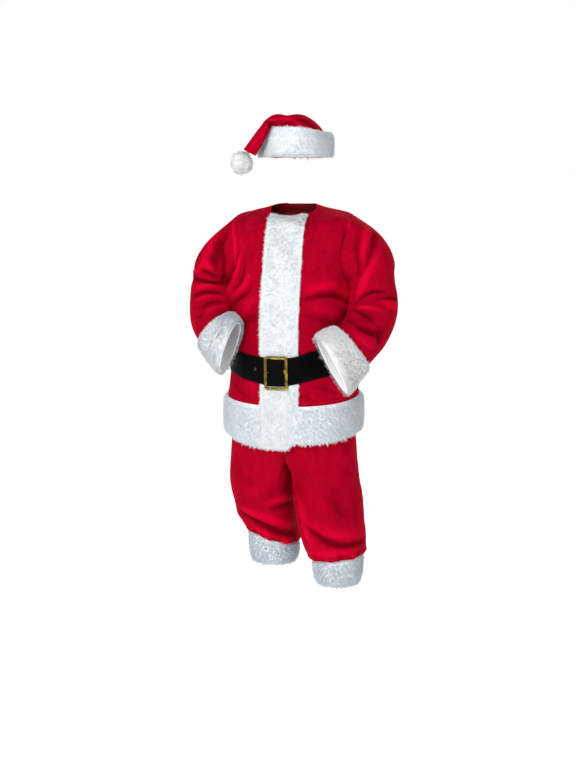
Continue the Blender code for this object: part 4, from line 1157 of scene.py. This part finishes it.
def hem_rise(theta):
    degrees = np.degrees((theta + np.pi) % TURN - np.pi)
    return np.interp(degrees, HEM_RISE["across"], HEM_RISE["rise"])


def band_edge(side, rows):
    return angle_at(BAND_MIDDLE + side * BAND_HALF_WIDTH, rows)


def front_columns(side):
    """From the opening to the side seam, with columns at the band's edge."""
    inner = angle_at(side * HALF_GAP, body_rows)[:, None]
    band = band_edge(side, body_rows)[:, None]
    under = inner + (band - inner) * np.linspace(0, 1, UNDER_BAND)[:-1]
    share = np.linspace(0, 1, BESIDE_BAND)
    out = band + (side * (np.pi / 2 - SIDE_GAP) - band) * share
    return np.concatenate([under, out - side * reach_rows[:, None] * share**2], axis=1)


def back_columns():
    share = np.linspace(-1, 1, ACROSS_BACK)
    return np.pi + (np.pi / 2 - SIDE_GAP) * share - reach_rows[:, None] * share * np.abs(share)


def jacket_body():
    panels = (
        ("jacket_front_left", front_columns(LEFT), (False, True, False, False)),
        ("jacket_front_right", front_columns(RIGHT)[:, ::-1], (True, False, False, False)),
        ("jacket_back", back_columns(), (True, True, False, False)),
    )
    for name, across, seams in panels:
        lifted = body_rows[:, None] + hem_rise(across) * (1 - ease(body_rows[:, None] / HEM_TOP))
        cloth(name, torso, across, lifted, seams, torso_push)


CUFF_GIRTH = 0.46


def sleeves():
    for name, side in SIDES.items():
        form, plush_end, fur_end, push = arm(side)
        around = np.linspace(ARM_GAP, TURN - ARM_GAP, 92)
        first_rows = [0, 0.002, 0.005, 0.009, 0.014, 0.020]
        rows = np.concatenate([first_rows, np.linspace(0.027, plush_end, 76)])
        seams = (True, True, True, True)
        cloth(f"sleeve_{name}", form, around[None, :], rows[:, None], seams, push)
        start = plush_end + LAID_ON
        span = fur_end - start

        def skin(a, b):
            return form(ARM_GAP + a * (TURN - 2 * ARM_GAP), start + b * span)

        fur(f"cuff_{name}", skin, (CUFF_GIRTH, span), cuff_depth)


def first_swell(b, share):
    """Fur's fullness beside its first edge: from the flattened seam to the whole of it."""
    return ease(0.15 + b / share)


def both_swell(b, share):
    return first_swell(b, share) * first_swell(1 - b, share)


def fur_depth(fullness):
    return FUR_EDGE + (FUR - FUR_EDGE) * fullness


def cuff_depth(a, b):
    return fur_depth(both_swell(b, 0.16)) + 0 * a


BELT_PRESSES, NO_HAIR = 0.058, 0.034  # to each side of the belt's middle
LIFT = PLUSH + LAID_ON  # how far fur laid on the plush stands off the form
CORNER_RISE = 0.020  # the band's foot is rounded off on the wearer's left
CORNER_FROM, CORNER_OVER = 0.66, 0.25  # shares of the band's width
BAND_LENGTH, HEM_LENGTH = 0.93, 1.33
BAND_PRESSED = 0.62  # share of the fur's depth that the belt takes
HEM_CLEAR = 0.8 * MM / 0.2


def belt_squeeze(along):
    """1 where the belt presses on the fur, 0 clear of it."""
    return np.exp(-(((along - BELT_MIDDLE) / BELT_PRESSES) ** 6))


def on_plush(theta, along):
    """The face of the jacket's plush, where fur is sewn on it."""
    return torso(theta, along) + LIFT * outward(torso_plain, theta, along)


def jacket_fur():
    band_top = NECK - 0.010

    def band_skin(a, b):
        corner = CORNER_RISE * ease((a - CORNER_FROM) / CORNER_OVER)
        along = b * band_top + corner * (1 - b)
        start, end = band_edge(RIGHT, along), band_edge(LEFT, along)
        return on_plush(start + (end - start) * a, along)

    def band_depth(a, b):
        full = fur_depth(both_swell(a, 0.16) * first_swell(b, 0.02))
        return full * (1 - BAND_PRESSED * belt_squeeze(b * band_top))

    def under_belt(a, b):
        return np.abs(b * band_top - BELT_MIDDLE) < NO_HAIR

    fur("front_band", band_skin, (2 * BAND_HALF_WIDTH, BAND_LENGTH), band_depth, bare=under_belt)

    def hem_skin(a, b):
        along = b * HEM_TOP
        start = band_edge(LEFT, along) + HEM_CLEAR
        theta = start + (TURN + band_edge(RIGHT, along) - HEM_CLEAR - start) * a
        return on_plush(theta, along + hem_rise(theta) * (1 - b))

    def hem_depth(a, b):
        return fur_depth(both_swell(b, 0.12)) + 0 * a

    fur("hem_band", hem_skin, (HEM_LENGTH, HEM_TOP), hem_depth)


# ---------------------------------------------------------------- the belt and its buckle

BELT_RISE = table("across bottom top", [
    (-180, 0.020, 0.020), (-90, 0.020, 0.012), (-45, 0.012, 0.004), (-20, 0.002, 0.000),
    (0, 0.000, 0.000), (14, 0.003, 0.004), (32, 0.016, 0.020), (60, 0.026, 0.027),
    (90, 0.028, 0.026), (180, 0.020, 0.020),
])
STRAP_START = float(band_edge(LEFT, np.array([BELT_MIDDLE]))[0]) / 4
STRAP_TAIL = 0.62
STRAP_END = -(TURN + STRAP_TAIL)
STRAP_CLEAR = 0.3 * MM
FUR_REACH, PRESSED_FUR = 0.40, 0.38 * FUR + 2.2 * MM  # radians each way, and how thick it is
OVERLAP_FROM, OVERLAP_OVER = TURN - 0.62, 0.40
BUCKLE_DEGREES = -2  # round the body from the middle of the front
BUCKLE_DIP, DIP_REACH = 6.0 * MM, 13  # the strap's lower edge sags, that many degrees each way


def strap_lift(turned):
    """How far the strap stands off the body: over the fur, and over its own first end."""
    near = (turned + np.pi) % TURN - np.pi
    on_fur = np.exp(-((near / FUR_REACH) ** 4))
    over = ease((-turned - OVERLAP_FROM) / OVERLAP_OVER)
    return PLUSH + LAID_ON + on_fur * PRESSED_FUR + over * (STRAP + LAID_ON)


def strap_form(turned, share):
    degrees = np.degrees((turned + np.pi) % TURN - np.pi)
    low, high = read_all(BELT_RISE, "across", degrees)
    low = low - BUCKLE_DIP * np.exp(-(((degrees - BUCKLE_DEGREES) / DIP_REACH) ** 4))
    along = BELT_MIDDLE + BELT_WIDTH * share + low + (high - low) * (share + 0.5)
    return raised(torso_plain, turned, along, strap_lift(turned))


def belt():
    turned = np.linspace(STRAP_START, STRAP_END, 300)[None, :]
    share = np.sin(np.linspace(-np.pi / 2, np.pi / 2, 15))[:, None] / 2
    turned, share = np.broadcast_arrays(turned, share)
    edge = np.abs(2 * share) ** 10
    waves = unevenness(turned * BODY_RADIUS, share * BELT_WIDTH, (0.25, 0.05, 31))
    out = outward(strap_form, turned, share)
    inner = strap_form(turned, share) + out * (waves + STRAP_CLEAR)[..., None]
    outer = inner + out * (STRAP * (1 - 0.35 * edge))[..., None]
    shade = {"edge": edge}
    strap = slab("belt_strap_leather", inner, outer, (LEATHER,), "belt_strap", shade)
    declare_cut(strap, inner, "stretched", rests_on=["front_band"])


def laid_on(seat, face):
    """The move that lays x across, y up and z out at a seat whose face looks that way."""
    rise = unit(np.array([0.0, 0.0, 1.0]) - face[2] * face)
    turn = Matrix((np.cross(rise, face), rise, face)).transposed().to_4x4()
    return Matrix.Translation(seat) @ turn


BUCKLE_SIDE = np.radians(BUCKLE_DEGREES)
BUCKLE_WIDTH, BUCKLE_HEIGHT, BAR, BAR_DEPTH = 0.085, 0.120, 0.0095, 0.004
CORNER, BLUNT = 0.012, 1.3 * MM
GROOVE, GROOVE_EDGE = 1.2 * MM, 3.0 * MM
FRAME_OUT = 0.7 * MM + BAR_DEPTH / 2


def buckle_place():
    """Where the buckle lies on the strap, as a move from the origin."""
    seat = strap_form(np.array([BUCKLE_SIDE - TURN]), np.array([0.0]))[0]
    face = outward(torso_plain, np.array([BUCKLE_SIDE]), np.array([BELT_MIDDLE]))[0]
    return laid_on(seat + (STRAP + FRAME_OUT) * face, face)


def buckle():
    work = bmesh.new()
    bmesh.ops.create_cube(work, size=1.0)
    bmesh.ops.scale(work, vec=(BUCKLE_WIDTH, BUCKLE_HEIGHT, BAR_DEPTH), verts=work.verts)
    uprights = [e for e in work.edges if abs(e.verts[0].co.z - e.verts[1].co.z) > BAR_DEPTH / 2]
    bmesh.ops.bevel(
        work, geom=uprights, offset=CORNER, segments=7, profile=0.5, affect="EDGES", material=-1
    )
    faces = [f for f in work.faces if abs(f.normal.z) > 0.9]
    bmesh.ops.inset_individual(work, faces=faces, thickness=BAR, use_even_offset=True)
    bmesh.ops.inset_individual(work, faces=faces, thickness=0.1 * MM, use_even_offset=True)
    rims = [e for f in faces for e in f.edges]
    bmesh.ops.delete(work, geom=faces, context="FACES_ONLY")
    bmesh.ops.bridge_loops(work, edges=rims)
    bmesh.ops.recalc_face_normals(work, faces=work.faces[:])
    front = [f for f in work.faces if f.normal.z > 0.9]
    bmesh.ops.inset_region(
        work, faces=front, thickness=GROOVE_EDGE, depth=-GROOVE, use_even_offset=True
    )
    corners = [e for e in work.edges if e.calc_face_angle(0) > np.radians(50)]
    bmesh.ops.bevel(
        work, geom=corners, offset=BLUNT, segments=3, profile=0.5, affect="EDGES", material=-1,
        clamp_overlap=True,
    )
    bmesh.ops.transform(work, matrix=buckle_place(), verts=work.verts)
    finish_work("buckle_frame_brass", work, BRASS, "buckle_frame", sharp=40)
    # the prong's slim end is shown as its solid is
    loop = frame["nodes"]["prong_loop"].data
    loop.materials.clear()
    loop.materials.append(BRASS)


TIP_RADIUS, TIP_WIDTH, TIP_UP = 6.0 * MM, 14.0 * MM, 7.0 * MM
TIP_BLUNT, TIP_BROADER, TIP_FLATTER = 1.6 * MM, 1.15, 0.6


def prong_tip():
    """The prong's broad end, which lies over the bar on the wearer's left."""
    work = bmesh.new()
    bmesh.ops.create_cone(
        work, cap_ends=True, segments=28, radius1=TIP_RADIUS, radius2=TIP_RADIUS, depth=TIP_WIDTH
    )
    rims = [e for e in work.edges if e.calc_face_angle(0) > np.radians(60)]
    bmesh.ops.bevel(
        work, geom=rims, offset=TIP_BLUNT, segments=4, profile=0.5, affect="EDGES", material=-1
    )
    bmesh.ops.scale(work, vec=(TIP_BROADER, TIP_FLATTER, 1.0), verts=work.verts)
    bmesh.ops.rotate(work, matrix=Matrix.Rotation(-TURN / 4, 3, "X"), verts=work.verts)
    bmesh.ops.translate(work, vec=(BUCKLE_WIDTH / 2 - BAR * 0.85, TIP_UP, 0), verts=work.verts)
    bmesh.ops.transform(work, matrix=buckle_place(), verts=work.verts)
    finish_work("prong_tip_brass", work, BRASS, "prong_tip")


EYELET_AT, EYELET_UP = np.radians(-21.5), 0.035
HOLE_RADIUS, RING_RADIUS, RING_THICK = 1.7 * MM, 3.6 * MM, 1.2 * MM


def eyelet():
    """A near-black disc on the strap's end, painted as the shade of a punched hole, and the ring round
    it.
    """
    turned, share = np.array([EYELET_AT - TURN]), np.array([EYELET_UP])
    out = outward(strap_form, turned, share)[0]
    seat = strap_form(turned, share)[0] + out * (STRAP + STRAP_CLEAR)
    work = bmesh.new()
    bmesh.ops.create_circle(work, cap_ends=True, segments=24, radius=HOLE_RADIUS)
    bmesh.ops.transform(work, matrix=laid_on(seat + out * 0.1 * MM, out), verts=work.verts)
    # a flat dark disc just over the strap: painted shade where the hole would be
    finish_work("eyelet_painted_hole", work, HOLE_SHADE)
    work = bmesh.new()
    bmesh.ops.create_circle(work, segments=8, radius=RING_THICK)
    bmesh.ops.rotate(work, matrix=Matrix.Rotation(TURN / 4, 3, "X"), verts=work.verts)
    bmesh.ops.translate(work, vec=(RING_RADIUS, 0, 0), verts=work.verts)
    bmesh.ops.spin(
        work, geom=work.verts[:] + work.edges[:], axis=(0, 0, 1), angle=TURN, steps=24, use_merge=True
    )
    bmesh.ops.recalc_face_normals(work, faces=work.faces[:])
    bmesh.ops.transform(work, matrix=laid_on(seat, out), verts=work.verts)
    finish_work("eyelet_ring", work, BRASS)


# ---------------------------------------------------------------- the trousers


def own_side(side):
    """Keeps each half of the trousers on its own side of the middle, over the fork."""

    def fit(points):
        kept = side * np.maximum(side * points[..., 0], HALF_GAP)
        placed = points.copy()
        placed[..., 0] = np.where(points[..., 2] > FORK - 0.05, kept, points[..., 0])
        return placed

    return fit


FORK_ROWS = np.array([0.0, 0.03, 0.08, 0.15, 0.24, 0.34, 0.46, 0.6, 0.8, 1.0])


def trousers():
    for name, side in SIDES.items():
        form, foot, push = leg(side)
        rows = np.concatenate([
            foot + np.array([0, 0.004, 0.009, 0.015, 0.022, 0.029]),
            np.arange(foot + 0.036, FORK - 0.003, 0.0072),
            FORK + (FORK_TOP - FORK) * FORK_ROWS,
            np.linspace(FORK_TOP, -0.530, 30)[1:],
        ])
        begin = seam_start(rows) + np.where(rows < FORK, 0.0004, 0.0)
        share = np.linspace(0, 1, 52)
        front = 0.5 * share + begin[:, None] * (1 - share) ** 2.4 - 0.0004 * share
        back = 0.5 + 0.5 * share - begin[:, None] * share**2.4 + 0.0004 * (1 - share)
        for which, around in (("front", front), ("back", back)):
            if side == RIGHT:
                around = around[:, ::-1]
            cloth(
                f"trouser_{which}_{name}", form, around, rows[:, None], (True, True, False, False),
                push, fit=own_side(side), facing=side,
            )


LEG_CUFFS = {  # x, y, radius, top and length
    RIGHT: (-0.090, 0.050, 0.081, -1.2348, 0.0995),
    LEFT: (0.187, -0.084, 0.077, -1.2628, 0.0950),
}
LEG_GIRTH = TURN * 0.083
LEG_SWELL, LEG_TAPER = 0.003, 0.009
LEG_SEAM = 0.003


def leg_cuffs():
    for name, side in SIDES.items():
        x, y, radius, top, length = LEG_CUFFS[side]

        def skin(a, b):
            out = radius + LEG_SWELL * np.sin(np.pi * b) - LEG_TAPER * (1 - b) ** 2
            phi = -(LEG_SEAM + a * (TURN - 2 * LEG_SEAM))
            across, ahead = out * np.sin(phi), out * np.cos(phi)
            z = top - length + length * b + LEANS[side] * across * b
            return np.stack([x + across, y + ahead, z], -1)

        fur(f"leg_cuff_{name}", skin, (LEG_GIRTH, length), cuff_depth)


def waist_form(theta, height):
    wide, front, back = read_all(HIPS, "height", height)
    turned = theta - np.pi
    x, ahead = wide * np.sin(turned), -np.cos(turned)
    gathers = 1 + 0.006 * np.sin(46 * theta) + 0.003 * np.sin(71 * theta + 1)
    x, y = x * gathers, np.where(ahead < 0, front, back) * ahead * gathers
    return np.stack([x, y, height + 0 * x], -1)


WAIST_FOOT, WAIST_TOP, ELASTIC = -0.526, -0.490, 3.0 * MM


def waistband():
    around = np.linspace(SIDE_GAP, TURN - SIDE_GAP, 360)
    theta, height = np.meshgrid(around, np.linspace(WAIST_FOOT, WAIST_TOP, 9))
    inner = waist_form(theta, height)
    outer = raised(waist_form, theta, height, ELASTIC)
    casing = slab("waistband_casing", inner, outer, (CASING,), "waistband")
    declare_cut(casing, inner, "gathered")


# ---------------------------------------------------------------- the hat


BRIM_GIRTH = TURN * 0.125
BRIM_BELOW = 0.009  # how far the brim hangs below the crown's edge


def hat_pieces():
    around = np.linspace(HAT_GAP, TURN - HAT_GAP, 104)
    rows = np.linspace(0.0, HAT["along"][-1], 76)
    cloth("hat_crown", hat, around[None, :], rows[:, None], (True, True, False, False), hat_push)
    span = BRIM_WIDTH + 0.008

    def skin(a, b):
        phi = HAT_GAP + a * (TURN - 2 * HAT_GAP)
        return raised(brim_form, phi, b * span - BRIM_BELOW, LIFT)

    fur("hat_brim", skin, (BRIM_GIRTH, span), cuff_depth)


CORE, ROOTS = 0.64, 0.62  # shares of the pompom's radius
POMPOM_HAIRS, POMPOM_LOCKS = 15000, 170


def pompom():
    work = bmesh.new()
    bmesh.ops.create_icosphere(work, subdivisions=4, radius=POMPOM_RADIUS * CORE)
    bmesh.ops.translate(work, vec=POMPOM_AT, verts=work.verts)
    finish_work("pompom_core", work, GROUND, "pompom")
    k = np.arange(POMPOM_HAIRS) + 0.5
    z = 1 - 2 * k / POMPOM_HAIRS
    turn = np.pi * (1 + 5**0.5) * k  # a spiral that spreads them evenly
    wide = np.sqrt(1 - z * z)
    out = np.stack([wide * np.cos(turn), wide * np.sin(turn), z], -1)
    draw = np.random.default_rng(77)
    locks = unit(draw.standard_normal((POMPOM_LOCKS, 3)))
    lock = np.argmax(out @ locks.T, axis=1)
    way = unit(out + 0.9 * (locks[lock] - out) + 0.20 * draw.standard_normal(out.shape))
    reach = draw.uniform(0.24, 0.48, POMPOM_HAIRS) * (0.74 + 0.46 * scatter(lock, 1, 2))
    root = np.array(POMPOM_AT) + out * POMPOM_RADIUS * ROOTS
    tip = root + way * POMPOM_RADIUS * reach[:, None]
    across = unit(np.cross(out, [0.3, 0.5, 0.8]))
    shown = unit(out + 0.5 * (out - locks[lock]) + 0.15 * way)
    hairs("pompom", root, tip, out, across, shown, draw, 1.15 + 0.3 * scatter(lock, 3, 5))


# ---------------------------------------------------------------- the floor and the light

FLOOR = -1.505
PAPER = (0.25, 0.25, 0.25, 1)
WHITE = (1, 1, 1, 1)
AMBIENT = 0.40
LAMPS = {  # place, aim, size and power
    "key": ((-0.5, -4.0, 1.3), (0, 0, -0.5), (1.5, 1.5), 122),
    "fill": ((3.2, -3.0, -0.2), (0, 0, -0.7), (2.0, 2.0), 36),
    "low": ((-1.8, -3.2, -0.9), (0, 0, -1.1), (1.6, 1.0), 22),
    "back": ((0.6, 3.4, 1.8), (0, 0, -0.5), (2.4, 1.6), 58),
}


def lamp(name, place, aim, size, power):
    light = bpy.data.lights.new(name, "AREA")
    light.shape, light.size, light.size_y = "RECTANGLE", *size
    light.energy = power
    made = bpy.data.objects.new(name, light)
    made.location = place
    made.rotation_euler = (Vector(aim) - Vector(place)).to_track_quat("-Z", "Y").to_euler()
    bpy.context.scene.collection.objects.link(made)
    return made


def floor():
    work = bmesh.new()
    bmesh.ops.create_grid(work, x_segments=2, y_segments=2, size=40)
    bmesh.ops.translate(work, vec=(0, 0, FLOOR), verts=work.verts)
    mesh = bpy.data.meshes.new("floor")
    work.to_mesh(mesh)
    work.free()
    made = bpy.data.objects.new("floor", mesh)
    bpy.context.scene.collection.objects.link(made)
    material = bpy.data.materials.new("paper")
    material.use_nodes = True
    shader = material.node_tree.nodes["Principled BSDF"]
    shader.inputs["Base Color"].default_value = PAPER
    shader.inputs["Roughness"].default_value = 1.0
    shader.inputs["Specular IOR Level"].default_value = 0.0
    shader.inputs["Emission Color"].default_value = WHITE
    shader.inputs["Emission Strength"].default_value = 1.0
    mesh.materials.append(material)
    return made


def world():
    """Plain white, and softer as a light than as it is seen."""
    room = bpy.data.worlds.new("white")
    bpy.context.scene.world = room
    room.use_nodes = True
    tree = room.node_tree
    seen = tree.nodes.new("ShaderNodeLightPath")
    strength = tree.nodes.new("ShaderNodeMapRange")
    strength.inputs[3].default_value = AMBIENT
    strength.inputs[4].default_value = 1.0
    tree.links.new(seen.outputs["Is Camera Ray"], strength.inputs["Value"])
    background = tree.nodes["Background"]
    background.inputs["Color"].default_value = WHITE
    tree.links.new(strength.outputs["Result"], background.inputs["Strength"])


def set_stage():
    world()
    lamps = [lamp(name, *given) for name, given in LAMPS.items()]
    floor()
    bpy.context.scene.view_settings.view_transform = "Standard"


# ---------------------------------------------------------------- everything, in order

for make in (
    jacket_body, sleeves, jacket_fur, belt, buckle, prong_tip, eyelet, trousers, leg_cuffs,
    waistband, hat_pieces, pompom, set_stage,
):
    make()
